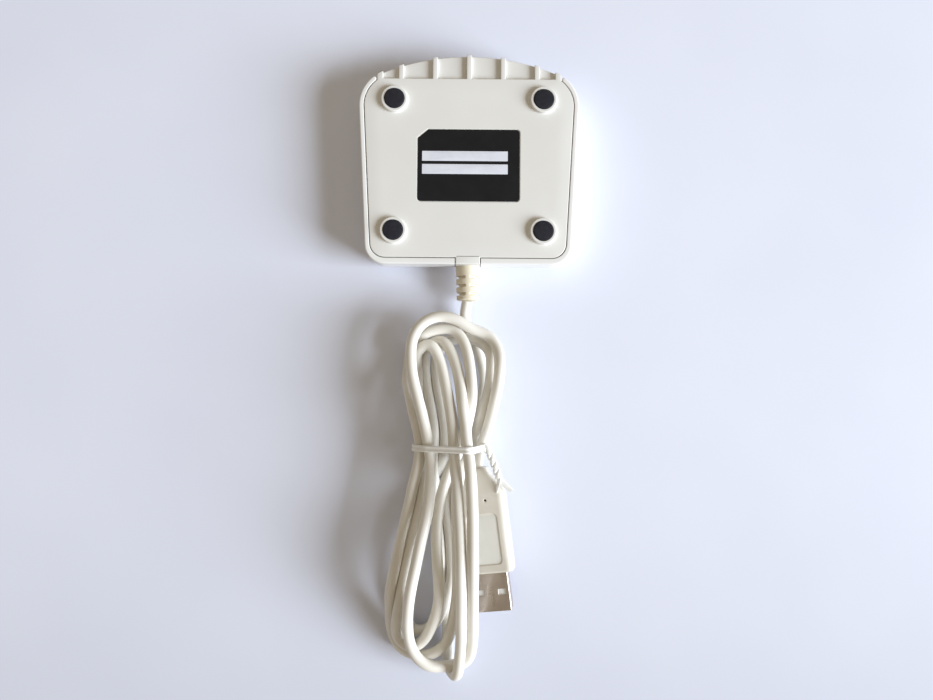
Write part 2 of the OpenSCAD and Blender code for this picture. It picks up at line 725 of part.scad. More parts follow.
// Wire header with the crimped plug of the cable's four conductors
module wire_header() {
    y = header_front_y - header_d;
    color("#efeee6") translate([header_x - header_w / 2, y, board_top]) difference() {
        cube([header_w, header_d, header_h]);
        translate([header_wall, -cut, header_wall])
            cube([header_w - 2 * header_wall, header_d - header_wall + cut, header_h]);
    }
}
module wire_housing() {
    w = header_w - 2 * header_wall - 2 * fit;
    color("#f4f3ec") translate([header_x - w / 2, header_front_y - header_d, board_top + header_wall])
        cube([w, header_d - header_wall - fit, housing_h]);
}
module signal_wire(i) {
    x = header_x + (i - (wire_count - 1) / 2) * wire_pitch;
    z = board_top + header_wall + housing_h / 2;
    exit_x = (i - (wire_count - 1) / 2) * wire_exit_pitch;
    y0 = header_front_y - header_d;
    y1 = rear_wall_y + relief_inner_len;
    lane_y = y1 + (i + 1) * (y0 - y1) / (wire_count + 1);
    p = [[x, y0, z], [x, lane_y, z], [(exit_x + x) / 2, lane_y, (z + cable_axis_z) / 2],
        [exit_x, lane_y, cable_axis_z], [exit_x, y1, cable_axis_z]];
    tube(p, wire_d / 2, lead_sides, square_ends(p, [0, -1, 0], [0, -1, 0]));
}
module wire_red() color("#b3262a") signal_wire(0);
module wire_white() color("#e6e6e2") signal_wire(1);
module wire_green() color("#2f8a4a") signal_wire(2);
module wire_black() color("#222222") signal_wire(3);

// Strain relief, moulded on the cable and held in the rear wall
module strain_relief() {
    pitch = (relief_len - relief_block_len) / relief_rings;
    step = (relief_d - relief_end_d) / relief_len;
    color("#e9e2cf") translate([0, rear_wall_y, cable_axis_z]) rotate([90, 0, 0]) difference() {
        union() {
            rotate_extrude() polygon([[0, 0], [relief_d / 2, 0],
                [relief_end_d / 2, relief_len - relief_edge],
                [relief_end_d / 2 - relief_edge, relief_len], [0, relief_len]]);
            translate([0, 0, -relief_inner_len]) cylinder(d = relief_d - 2 * fit, h = relief_inner_len);
            translate([-flange_w / 2, -relief_d / 2, -relief_inner_len]) cube([flange_w, relief_d, flange_t]);
        }
        for (i = [0 : relief_rings - 1]) relief_grooves(relief_block_len + i * pitch, step);
    }
}

module relief_grooves(l, step) {
    r = (relief_d - step * l) / 2 - relief_groove_depth;
    for (m = [0, 1]) mirror([m, 0, 0]) translate([0, 0, l]) intersection() {
        rotate_extrude() translate([r, 0]) square([relief_d, relief_groove]);
        translate([relief_web_w / 2, -relief_d, -cut])
            cube([relief_d, 2 * relief_d, relief_groove + 2 * cut]);
    }
}

// Cable in three stretches
module cable_lead() {
    color("#e4e1d8") tube(lead_line, cable_d / 2, lead_sides,
        square_ends(lead_line, [0, -1, 0], [0, -1, 0]));
}
module cable_hank() {
    color("#e4e1d8") tube(hank_points, cable_d / 2, hank_sides,
        square_ends(hank_points, [0, -1, 0], [0, -1, 0]));
}
module cable_tail() {
    color("#e4e1d8") tube(tail_line, cable_d / 2, lead_sides,
        square_ends(tail_line, [0, -1, 0], [sin(plug_lean), -cos(plug_lean), 0]));
}

// Twist tie round the hank's waist
module tie_band() {
    t = (hank_top_y - tie_y) / hank_run / 4;
    low_left = hank_point(tie_left_turn - t);
    outer = [low_left, tail_at_tie, hank_point(t), hank_point(tie_top_turn + t), hank_point(tie_edge_turn - t)];
    c = [for (p = outer) [p[0], p[2], cable_d / 2 + tie_gap]];
    color("#f3f2ee") translate([0, tie_y + tie_w / 2, 0]) rotate([90, 0, 0])
        linear_extrude(tie_w) difference() {
            hull() for (k = c) translate([k[0], k[1]]) circle(k[2] + tie_t, $fn = 24);
            hull() for (k = c) translate([k[0], k[1]]) circle(k[2], $fn = 24);
        }
}
module tie_twist() {
    color("#f3f2ee") {
        tube(tie_points, tie_wire_r, lead_sides, middle_dirs(tie_points));
        tube(tie_end_points, tie_wire_r, lead_sides, middle_dirs(tie_end_points));
        tube(tie_stub_points, tie_wire_r, lead_sides, middle_dirs(tie_stub_points));
    }
}

// Plug: pieces are drawn along +Y from the grip's front face, and the shell points to -Y
module at_plug() {
    translate([plug_x, plug_y, plug_z]) rotate([0, 0, plug_lean]) rotate([0, -plug_roll, 0]) children();
}
module grip_section(w, h, r) {
    x = w / 2 - r;
    y = h / 2 - r;
    round_outline([[x, y, r], [-x, y, r], [-x, -y, r], [x, -y, r]]);
}
module along_plug(y, l) {
    translate([0, y, 0]) rotate([90, 0, 0]) linear_extrude(l) children();
}
module plug_grip() {
    color("#e6dfd0") at_plug() difference() {
        union() {
            along_plug(grip_len, grip_len) grip_section(grip_w, grip_h, grip_round);
            hull() {
                along_plug(grip_len, cut) grip_section(grip_w, grip_h, grip_round, $fn = 32);
                along_plug(grip_len + grip_taper, cut)
                    grip_section(grip_end_w, grip_end_h, grip_round, $fn = 32);
            }
        }
        translate([0, grip_panel_y + grip_panel_l / 2, grip_mark_z]) linear_extrude(grip_h)
            grip_section(grip_panel_w, grip_panel_l, grip_panel_r);
        translate([grip_dot_x, grip_dot_y, grip_mark_z]) cylinder(d = grip_dot_d, h = grip_h);
        translate([-shell_w / 2, -cut, -shell_h / 2]) cube([shell_w, shell_in + cut, shell_h]);
    }
}
module plug_shell() {
    color("#9a9089") at_plug() difference() {
        along_plug(shell_in, shell_in + shell_len) grip_section(shell_w, shell_h, shell_r);
        along_plug(shell_in + cut, shell_in + shell_len + 2 * cut)
            grip_section(shell_w - 2 * shell_t, shell_h - 2 * shell_t, shell_r - shell_t / 2);
        for (x = [0, 1]) mirror([x, 0, 0])
            translate([window_x, -shell_len + window_y, -shell_h]) cube([window_w, window_l, 2 * shell_h]);
    }
}
module plug_insulator() {
    y = -shell_len + insulator_back;
    color("#f2f1ee") at_plug() translate([-insulator_w / 2, y, shell_h / 2 - shell_t - insulator_t])
        cube([insulator_w, shell_in - y, insulator_t]);
}
module plug_contacts() {
    z = shell_h / 2 - shell_t - insulator_t - plug_contact_t;
    color("#c9a24a") at_plug() for (x = plug_contact_x)
        translate([x - plug_contact_w / 2, -shell_len + 2 * insulator_back, z])
            cube([plug_contact_w, plug_contact_l, plug_contact_t]);
}

base_cover();
top_cover();
foot_at(-1, foot_front_y);  // foot_front_left
foot_at(1, foot_front_y);  // foot_front_right
foot_at(-1, foot_rear_y);  // foot_rear_left
foot_at(1, foot_rear_y);  // foot_rear_right
rating_label();
label_fields();
case_screws();
main_board();
contact_frame();
contact_row_front();
contact_row_rear();
contact_tails();
detect_blade();
detect_post();
reader_chip();
chip_leads();
crystal();
chip_parts();
status_led();
light_pipe();
wire_header();
wire_housing();
wire_red();
wire_white();
wire_green();
wire_black();
strain_relief();
cable_lead();
cable_hank();
cable_tail();
tie_band();
tie_twist();
plug_grip();
plug_shell();
plug_insulator();
plug_contacts();
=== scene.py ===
# %% [markdown]
# # A smart card reader on its back, with its cable tied in a hank
# The reader lies on its smooth top cover, so its underside looks up at the camera: a grey-white
# base cover with four rubber feet, a black rating label and the ribbed tongue of the card slot.
# Its USB cable is folded into a hank and held by a twist tie. Every length below is written in
# millimetres and turned into metres once, when a mesh is made.

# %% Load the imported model
import math

import bmesh
import bpy
import numpy as np
from mathutils import Matrix


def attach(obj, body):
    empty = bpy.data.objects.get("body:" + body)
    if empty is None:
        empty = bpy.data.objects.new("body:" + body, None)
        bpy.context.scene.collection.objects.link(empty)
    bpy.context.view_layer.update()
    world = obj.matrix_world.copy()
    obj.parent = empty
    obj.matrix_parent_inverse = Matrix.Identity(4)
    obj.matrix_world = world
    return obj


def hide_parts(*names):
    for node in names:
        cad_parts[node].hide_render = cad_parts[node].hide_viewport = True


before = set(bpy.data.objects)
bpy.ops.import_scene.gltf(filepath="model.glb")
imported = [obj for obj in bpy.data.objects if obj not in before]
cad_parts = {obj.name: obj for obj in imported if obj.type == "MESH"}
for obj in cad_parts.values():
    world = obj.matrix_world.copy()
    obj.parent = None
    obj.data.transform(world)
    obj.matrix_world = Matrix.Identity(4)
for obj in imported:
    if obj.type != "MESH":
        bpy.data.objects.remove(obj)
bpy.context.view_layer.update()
MM = 0.001


# %% [markdown]
# ## The camera
# The photograph was taken from 26 cm straight above, leaning two degrees towards the card side.
# A short lens this close makes the tall hank look a little larger than the table round it, so the
# distance matters as much as the direction. The camera's axes are written as a matrix.


# %% Camera
def place(obj, axes, at):
    """Puts an object into the scene by its three axes and its position in mm."""
    bpy.context.scene.collection.objects.link(obj)
    obj.matrix_world = Matrix([[*(a[i] for a in axes), at[i] * MM] for i in range(3)] + [[0, 0, 0, 1]])


CAMERA_AT = np.array([-0.2, -71.9, 258.4])
PITCH, ROLL = math.radians(2.2), math.radians(0.45)
FOCAL_PX, PHOTO_W_PX = 760, 933
look = np.array([0, math.sin(PITCH), -math.cos(PITCH)])
up = np.array([0, math.cos(PITCH), math.sin(PITCH)])
right = np.array([1.0, 0, 0])
camera = bpy.data.objects.new("camera", bpy.data.cameras.new("camera"))
turned_right = right * math.cos(ROLL) + up * math.sin(ROLL)
turned_up = up * math.cos(ROLL) - right * math.sin(ROLL)
place(camera, [turned_right, turned_up, -look], CAMERA_AT)
camera.data.lens = FOCAL_PX / PHOTO_W_PX * camera.data.sensor_width
camera.data.clip_start = 0.01
bpy.context.scene.camera = camera
print("lens", round(camera.data.lens, 2), "mm")


# %% [markdown]
# ## Helpers for surfaces
# A shape here is an array of points in rows and columns. The first helpers lay out loops, arcs and
# rounded corners; the last three join rows into quads, close the ends, and turn the lot into an
# object on a body of the model.


# %% Loops and corners
def points_at(*coordinates):
    """Points from their coordinates, each of them an array or one number for all."""
    return np.stack(np.broadcast_arrays(*coordinates), -1)


def layer(loop, z):
    """A flat loop of points at height z."""
    return points_at(loop[:, 0], loop[:, 1], float(z))


def round_angles(count):
    """Angles spread evenly over a full turn."""
    return np.arange(count) * 2 * np.pi / count


def arc(cx, cy, radius, angle):
    """Points on the circle round (cx, cy) at the given angles."""
    return points_at(cx + radius * np.cos(angle), cy + radius * np.sin(angle))


def bend(start, dx, dz, count=6, flat_first=False):
    """Quarter ellipse from start to start + (dx, dz).

    With v from 0 to 90 degrees it leaves start upright, by (dx (1 - cos v), dz sin v), or with
    flat_first flat, by (dx sin v, dz (1 - cos v)).
    """
    v = np.linspace(0, np.pi / 2, count)
    along, aside = np.sin(v), 1 - np.cos(v)
    return start + (points_at(dx * along, dz * aside) if flat_first else points_at(dx * aside, dz * along))


def step_up(x, edge, width):
    """Smooth step from 0 to 1 round x = edge, over width: 3 u^2 - 2 u^3."""
    u = np.clip((x - edge) / width + 0.5, 0, 1)
    return u * u * (3 - 2 * u)


def draw_in(u):
    """How far a rounded end has drawn in, 1 - sqrt(1 - u^2): 0 up to u = 0, and 1 from u = 1."""
    return 1 - np.sqrt(1 - np.clip(u, 0, 1) ** 2)


def rounded_rectangle(width, height, radius, flat=64, corner=10):
    """Outline, anticlockwise: corner points on each quarter circle, flat points along each wide face."""
    q, x, y = np.linspace(0, np.pi / 2, corner), width / 2 - radius, height / 2 - radius
    centres = [(x, y), (-x, y), (-x, -y), (x, -y)]
    arcs = [arc(*c, radius, q + k * np.pi / 2) for k, c in enumerate(centres)]
    f = np.linspace(0, 1, flat + 2)[1:-1, None]
    top = arcs[0][-1] * (1 - f) + arcs[1][0] * f
    bottom = arcs[2][-1] * (1 - f) + arcs[3][0] * f
    return np.concatenate([arcs[0], top, arcs[1], arcs[2], bottom, arcs[3]])


def lathe(profile, centre, count=72):
    """A profile of radius and height turned round the upright line through centre."""
    p, a = np.asarray(profile, float), round_angles(count)
    return points_at(centre[0] + p[:, :1] * np.cos(a), centre[1] + p[:, :1] * np.sin(a), p[:, 1:])


# %% Grids of points into meshes
MERGE = 0.002
AXIS_R = 0.002


def quads(rows, columns, wrap_rows=False):
    """Corner numbers of the quads between neighbouring rows of a grid whose columns close into a ring."""
    r, c = np.meshgrid(np.arange(rows if wrap_rows else rows - 1), np.arange(columns), indexing="ij")
    r2, c2 = (r + 1) % rows, (c + 1) % columns
    return np.stack([r * columns + c, r2 * columns + c, r2 * columns + c2, r * columns + c2], -1).reshape(-1, 4)


def skin(grid, wrap_rows=False):
    """A grid (rows, columns, 3) as points and faces; its end rows are joined, or else each is capped."""
    rows, columns = grid.shape[:2]
    faces = quads(rows, columns, wrap_rows).tolist()
    if not wrap_rows:
        faces += [list(range(columns))[::-1], list(range((rows - 1) * columns, rows * columns))]
    return grid.reshape(-1, 3), faces


def piece(name, parts, material, body="root", sharp=35):
    """Joins parts, each points and faces in mm, into one object that rides on a body."""
    points, faces, start = [], [], 0
    for p, f in parts:
        points.append(p)
        faces += [[i + start for i in face] for face in f]
        start += len(p)
    mesh = bpy.data.meshes.new(name)
    mesh.from_pydata((np.concatenate(points) * MM).tolist(), [], faces)
    bm = bmesh.new()
    bm.from_mesh(mesh)
    bmesh.ops.remove_doubles(bm, verts=bm.verts, dist=MERGE * MM)
    bmesh.ops.dissolve_degenerate(bm, edges=bm.edges, dist=MERGE * MM)
    bmesh.ops.recalc_face_normals(bm, faces=bm.faces)
    bm.to_mesh(mesh)
    bm.free()
    mesh.shade_smooth()
    mesh.set_sharp_from_angle(angle=math.radians(sharp))
    obj = bpy.data.objects.new(name, mesh)
    bpy.context.scene.collection.objects.link(obj)
    mesh.materials.append(material)
    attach(obj, body)
    print(name, len(mesh.vertices), "points")
    return obj


# %% [markdown]
# ## Helpers for materials
# Each material is one Principled shader with a little variation. Colours are read off the photograph
# as sRGB hex and turned into the linear numbers that Blender mixes with. Nearly all of the noise lies
# between 0.3 and 0.7, so that is the span that a colour or a gloss runs over.

# %% Colours and nodes
NOISE_LOW, NOISE_HIGH = 0.3, 0.7


def linear(text):
    """sRGB hex to linear: below 0.04045 it is divided by 12.92, above it ((c + 0.055) / 1.055) ** 2.4."""
    c = np.array([int(text[i : i + 2], 16) for i in (1, 3, 5)]) / 255
    return (*np.where(c <= 0.04045, c / 12.92, ((c + 0.055) / 1.055) ** 2.4).tolist(), 1.0)


def node(tree, kind, inputs=(), **settings):
    """Adds a node, sets its properties, and sets or links each of its inputs."""
    n = tree.nodes.new(kind)
    for key, value in settings.items():
        setattr(n, key, value)
    for key, value in dict(inputs).items():
        if isinstance(value, bpy.types.NodeSocket):
            tree.links.new(value, n.inputs[key])
        else:
            n.inputs[key].default_value = value
    return n


def new_material(name, **values):
    """A material whose Principled shader's own sockets take the values; underscores stand for spaces."""
    m = bpy.data.materials.new(name)
    m.use_nodes = True
    tree = m.node_tree
    shader = tree.nodes["Principled BSDF"]
    for key, value in values.items():
        shader.inputs[key.replace("_", " ")].default_value = value
    return m, tree, shader


def speckle(tree, size_mm, detail=3.0, stretch=(1, 1, 1)):
    """Noise whose grains are about size_mm wide on the object."""
    spot = node(tree, "ShaderNodeTexCoord").outputs["Object"]
    scaled = node(tree, "ShaderNodeMapping", {"Vector": spot, "Scale": [s / (size_mm * MM) for s in stretch]})
    noise = node(tree, "ShaderNodeTexNoise", {"Vector": scaled.outputs[0], "Scale": 1.0, "Detail": detail})
    return noise.outputs["Fac"]


def vary_colour(tree, shader, fac, dark, light):
    """Lets the base colour run from dark to light with fac."""
    ramp = node(tree, "ShaderNodeValToRGB", {"Fac": fac})
    for stop, at, colour in zip(ramp.color_ramp.elements, (NOISE_LOW, NOISE_HIGH), (dark, light)):
        stop.position, stop.color = at, linear(colour)
    tree.links.new(ramp.outputs["Color"], shader.inputs["Base Color"])


def vary_gloss(tree, shader, fac, low, high):
    """Lets the roughness run from low to high with fac."""
    span = {"From Min": NOISE_LOW, "From Max": NOISE_HIGH, "To Min": low, "To Max": high}
    spread = node(tree, "ShaderNodeMapRange", {"Value": fac, **span})
    tree.links.new(spread.outputs[0], shader.inputs["Roughness"])


def grain(tree, shader, height, depth_mm, strength):
    """Bumps the surface by depth_mm as height runs from 0 to 1."""
    bump = node(tree, "ShaderNodeBump", {"Height": height, "Distance": depth_mm * MM, "Strength": strength})
    tree.links.new(bump.outputs[0], shader.inputs["Normal"])


# %% [markdown]
# ## PVC of the cable
# The jacket is soft PVC, drawn over its conductors, in a warm ivory. Handling leaves it a little
# uneven in gloss and tone. The strain relief and the plug's grip are moulded in a creamier PVC that
# has yellowed more.

# %% PVC materials
cable_pvc, tree, shader = new_material("ivory PVC jacket", Roughness=0.42, Specular_IOR_Level=0.4)
vary_colour(tree, shader, speckle(tree, 14, 2), "#E2DDD2", "#EBE7DE")
vary_gloss(tree, shader, speckle(tree, 3, 3), 0.36, 0.5)
grain(tree, shader, speckle(tree, 0.9, 2), 0.02, 0.5)

relief_pvc, tree, shader = new_material("cream moulded PVC", Roughness=0.5, Specular_IOR_Level=0.35)
vary_colour(tree, shader, speckle(tree, 6, 2), "#DDD2BA", "#E5DBC5")
grain(tree, shader, speckle(tree, 0.35, 2), 0.012, 0.6)

grip_pvc, tree, shader = new_material("cream PVC grip, fine matt", Roughness=0.48, Specular_IOR_Level=0.4)
vary_colour(tree, shader, speckle(tree, 9, 2), "#D6CFC2", "#DFD9CD")
grain(tree, shader, speckle(tree, 0.3, 2), 0.01, 0.6)

panel_pvc, tree, shader = new_material("pale PVC panel, polished mould", Roughness=0.32)
vary_colour(tree, shader, speckle(tree, 7, 2), "#E3E1D8", "#E8E6DE")

# %% [markdown]
# ## The cable's route
# The cable is one long round bar bent in three dimensions, so a curve is worked out and a circle is
# carried along it. The points follow the strands of the photograph: down under the top turn, five
# turns over each other, and into the plug. They were settled so that no strand cuts another: each
# rests at least its own diameter from the next. A natural cubic spline runs through them.

# %% Route points, in mm
CABLE_D = 3.6
ROUTE = """
0.0 -45.8 6.1, -0.7 -51.1 4.8, 1.0 -56.6 3.0, 3.5 -61.9 2.5, 5.4 -67.6 2.5, 5.8 -73.6 2.5,
5.1 -79.5 2.5, 3.9 -85.4 2.4, 2.2 -91.1 2.1, -0.1 -96.5 2.3, -2.9 -101.6 3.6, -5.4 -106.8 4.7,
-6.4 -112.6 4.7, -5.8 -118.6 4.7, -5.1 -124.5 4.7, -4.7 -130.4 4.7, -4.5 -136.4 5.2,
-5.5 -142.3 6.1, -7.7 -148.0 5.7, -10.7 -153.0 3.9, -15.9 -155.1 3.1, -19.9 -151.4 3.3,
-21.1 -145.8 4.1, -21.0 -139.9 4.6, -20.2 -133.9 4.6, -19.1 -128.1 4.6, -17.5 -122.3 4.6,
-15.7 -116.6 4.6, -14.0 -111.0 4.1, -11.5 -105.6 2.9, -8.4 -100.3 3.5, -7.1 -94.4 4.4,
-7.2 -88.2 4.6, -8.0 -82.1 4.6, -9.3 -76.3 4.3, -10.3 -70.5 3.7, -10.3 -64.9 3.2,
-7.5 -60.2 3.3, -2.6 -58.3 5.1, 2.9 -59.0 6.8, 7.1 -62.3 8.2, 8.0 -68.1 9.3, 7.4 -73.9 10.4,
6.0 -79.6 11.4, 4.4 -85.1 10.6, 3.5 -89.2 7.0, 1.4 -93.8 5.8, -0.6 -97.6 9.3, -1.9 -101.7 13.1,
-2.8 -107.1 15.3, -2.9 -112.9 16.7, -2.7 -118.8 17.1, -2.5 -124.8 17.1, -2.4 -130.9 16.9,
-2.4 -136.8 16.1, -2.8 -142.4 14.1, -3.5 -147.6 11.3, -4.5 -152.9 8.6, -6.4 -158.2 6.9,
-10.9 -161.8 5.9, -16.5 -162.7 4.1, -21.6 -160.4 2.6, -24.1 -155.1 3.3, -24.5 -149.9 6.2,
-24.3 -144.9 9.6, -23.9 -140.0 13.0, -22.9 -134.5 15.0, -21.7 -128.6 15.1, -20.5 -122.8 15.0,
-19.2 -116.9 15.0, -17.9 -111.0 15.0, -16.7 -105.2 15.1, -15.3 -99.3 15.0, -14.8 -93.3 15.0,
-15.7 -87.4 14.9, -17.3 -81.8 13.8, -18.6 -76.3 11.9, -19.7 -72.2 8.0, -19.4 -68.1 5.6,
-18.6 -62.8 7.6, -15.5 -58.2 9.2, -10.1 -55.8 10.1, -4.3 -56.1 10.5, -0.9 -60.4 11.8,
0.6 -65.9 13.6, 1.3 -71.5 15.4, 1.6 -77.4 16.1, 0.8 -83.2 15.6, -0.5 -89.0 15.1,
-2.4 -94.6 14.6, -4.9 -100.1 14.7, -6.9 -105.7 15.0, -8.3 -111.5 15.6, -9.1 -117.4 16.2,
-9.2 -123.4 16.3, -8.9 -129.4 15.9, -8.4 -135.4 15.5, -8.3 -141.2 14.4, -9.2 -146.7 12.3,
-10.9 -151.9 9.8, -13.3 -156.7 7.4, -17.5 -159.5 5.7, -21.6 -157.0 5.9, -22.4 -152.2 8.2,
-21.7 -147.1 11.0, -20.7 -141.9 13.5, -19.6 -136.2 14.7, -18.0 -128.3 14.8, -16.7 -122.5 14.8,
-15.4 -116.6 14.6, -14.3 -110.7 14.0, -13.4 -104.9 13.3, -12.9 -99.4 11.8, -13.1 -95.2 8.1,
-14.1 -90.4 5.5, -14.9 -84.8 5.1, -16.0 -79.2 5.2, -16.3 -73.7 6.4, -16.4 -68.4 8.6,
-16.0 -63.1 10.4, -12.3 -60.9 12.0, -9.1 -65.3 12.9, -7.5 -70.8 14.6, -6.2 -76.4 16.4,
-5.1 -82.1 17.3, -4.3 -88.1 17.8, -3.9 -93.9 19.2, -3.4 -99.5 21.2, -2.7 -105.2 22.8,
-2.3 -111.1 23.4, -1.9 -117.1 23.5, -1.6 -123.1 23.4, -1.4 -129.1 23.0, -1.3 -135.0 21.9,
-1.2 -140.7 20.0, -1.2 -146.0 17.2, -1.2 -151.3 14.4, -1.3 -156.7 11.9, -1.7 -162.3 10.1,
-2.8 -167.9 7.9, -5.1 -167.1 3.0, -5.8 -161.3 2.3, -5.8 -155.3 2.8, -5.8 -149.4 2.7,
-6.6 -143.4 2.6, -7.8 -137.5 3.7, -8.2 -131.5 4.5, -8.7 -125.5 4.6, -9.4 -119.4 4.6,
-10.1 -113.4 4.8, -10.2 -107.3 6.0, -11.2 -101.2 6.0, -10.9 -95.4 4.8, -10.7 -89.5 4.5,
-11.5 -83.7 4.6, -12.6 -77.9 4.4, -13.7 -72.1 4.2, -14.2 -66.4 5.5, -12.8 -61.3 7.7,
-8.5 -59.5 10.1, -5.0 -63.6 12.0, -3.1 -69.0 13.8, -2.0 -74.5 16.1, -1.3 -80.1 18.4,
-0.4 -85.9 19.2, 0.1 -91.6 20.8, 0.9 -97.0 23.1, 1.5 -102.8 24.5, 1.9 -108.8 24.7,
2.1 -114.8 24.6, 2.2 -120.8 24.4, 2.3 -126.8 24.0, 2.4 -132.6 22.7, 2.4 -138.2 20.5,
2.5 -143.5 17.7, 2.5 -148.5 14.4, 2.5 -153.7 11.4, 2.1 -159.2 8.9, 0.0 -164.1 6.5,
-5.2 -165.4 6.3, -10.8 -165.1 8.0, -15.5 -161.7 9.1, -17.8 -156.5 10.4, -18.3 -151.1 12.8,
-18.1 -146.0 15.8, -17.5 -140.7 18.5, -16.5 -135.0 20.0, -15.3 -129.1 20.1, -14.1 -123.2 19.9,
-12.8 -117.4 19.4, -11.7 -111.5 18.7, -11.2 -105.6 18.0, -11.1 -99.6 17.4, -11.8 -93.7 17.3,
-13.0 -87.8 17.5, -14.4 -82.0 17.8, -16.0 -76.2 17.5, -17.4 -70.5 16.7, -18.0 -64.6 15.8,
-17.4 -58.7 14.7, -14.3 -53.9 13.5, -8.9 -51.7 12.7, -3.3 -52.8 12.2, 1.8 -55.5 11.0,
7.0 -57.8 10.4, 10.0 -62.4 11.9, 10.5 -67.7 14.2, 10.0 -73.5 14.4, 8.8 -79.4 13.9,
7.5 -85.2 13.0, 5.9 -90.7 11.0, 4.2 -95.8 8.3, 3.6 -101.0 6.5
"""
route = np.array(ROUTE.replace(",", " ").split(), float).reshape(-1, 3)


def spline(points, step):
    """Natural cubic spline through points, sampled every step mm.

    Between two points the second derivative runs straight from one to the next, is zero at both ends,
    and is solved so that the slopes agree at every point; the parameter is the distance between points.
    """
    points = np.asarray(points, float)
    t = np.concatenate([[0], np.cumsum(np.linalg.norm(np.diff(points, axis=0), axis=1))])
    h = np.diff(t)[:, None]
    inner = np.arange(1, len(t) - 1)
    system = np.diag(np.concatenate([[1], 2 * (h[:-1, 0] + h[1:, 0]), [1]]))
    system[inner, inner - 1], system[inner, inner + 1] = h[:-1, 0], h[1:, 0]
    ends = np.zeros((1, 3))
    jumps = 6 * np.diff(np.diff(points, axis=0) / h, axis=0)
    second = np.linalg.solve(system, np.concatenate([ends, jumps, ends]))
    s = np.linspace(0, t[-1], int(t[-1] / step) + 1)
    i = np.clip(np.searchsorted(t, s, side="right") - 1, 0, len(t) - 2)
    to_next, past = (t[i + 1] - s)[:, None], (s - t[i])[:, None]
    curved = (second[i] * to_next**3 + second[i + 1] * past**3) / (6 * h[i])
    from_last = (points[i] / h[i] - second[i] * h[i] / 6) * to_next
    return curved + from_last + (points[i + 1] / h[i] - second[i + 1] * h[i] / 6) * past


line = spline(route, 1.0)


# %% A circle carried along the route
def frames(path):
    """Two normals carried along a path without twist: each is the last one, made square to the new tangent."""
    t = np.gradient(path, axis=0)
    t /= np.linalg.norm(t, axis=1)[:, None]
    first = np.cross(t[0], [0.3, 0.2, 1.0])
    n = [first / np.linalg.norm(first)]
    for d in t[1:]:
        v = n[-1] - d * (n[-1] @ d)
        n.append(v / np.linalg.norm(v))
    return np.array(n), np.cross(t, n)


def tube(path, radius, sides=20):
    """Points path + radius * (normal cos a + binormal sin a), with a round the circle."""
    n, b = frames(path)
    a = round_angles(sides)[:, None]
    return path[:, None] + radius * (n[:, None] * np.cos(a) + b[:, None] * np.sin(a))


cable = piece("cable", [skin(tube(line, CABLE_D / 2))], cable_pvc)
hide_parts("cable_lead", "cable_hank", "cable_tail")

# %% [markdown]
# ## Strain relief
# The collar that keeps the cable from kinking is moulded round it: a plain block at the housing, then
# three rings. The grooves between them leave a web on the upper and lower side, so the radius is a
# function of both the distance along the cable and the angle round it.

# %% Strain relief
REAR_Y, CABLE_Z = -34.5, 6.1
RELIEF_LEN, RELIEF_ROOT, RELIEF_R, RELIEF_TAPER = 11.3, 1.2, 4.0, 0.4
GROOVES, GROOVE_HALF, GROOVE_DEPTH, WEB_HALF = (3.75, 6.5, 9.25), 0.42, 0.95, 1.05


def relief_radius(s, a):
    """A cone, less three grooves that leave a web along the top and bottom lines, and a rounded end."""
    cone = RELIEF_R - RELIEF_TAPER * np.clip(s / RELIEF_LEN, 0, 1)
    groove = sum(step_up(s, g - GROOVE_HALF, 0.28) - step_up(s, g + GROOVE_HALF, 0.28) for g in GROOVES)
    off_web = step_up(np.abs(np.sin(a) * cone), WEB_HALF, 0.5)
    return cone - GROOVE_DEPTH * groove * off_web - 0.5 * draw_in((s - RELIEF_LEN + 0.5) / 0.5)


s = np.concatenate([[-RELIEF_ROOT], np.linspace(0, RELIEF_LEN, 160)])[:, None]
a = round_angles(72)
r = relief_radius(s, a)
relief_grid = points_at(r * np.sin(a), REAR_Y - s, CABLE_Z + r * np.cos(a))
relief = piece("strain_relief_moulding", [skin(relief_grid)], relief_pvc, sharp=50)
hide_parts("strain_relief")

# %% [markdown]
# ## The USB plug
# The grip is a soft block with rounded sides that narrows towards the cable. Its flat face carries a
# shallow panel and a small dimple. A rounded rectangle is carried along the plug, and the face is
# pressed in where the panel lies, by its signed distance.

# %% Plug frame and grip
PLUG_AT, PLUG_LEAN, PLUG_ROLL = np.array([8.1, -134.65, 6.5]), math.radians(7.6), math.radians(10)
plug_turn = np.array(Matrix.Rotation(PLUG_LEAN, 3, "Z") @ Matrix.Rotation(-PLUG_ROLL, 3, "Y"))


def at_plug(points):
    """Turns points from the plug's own axes, +y towards the cable, into the part's frame."""
    return points @ plug_turn.T + PLUG_AT


def box_distance(x, y, half_x, half_y, r):
    """Signed distance to a rectangle with corners of radius r: negative inside."""
    qx, qy = np.abs(x) - half_x + r, np.abs(y) - half_y + r
    return np.hypot(np.maximum(qx, 0), np.maximum(qy, 0)) + np.minimum(np.maximum(qx, qy), 0) - r


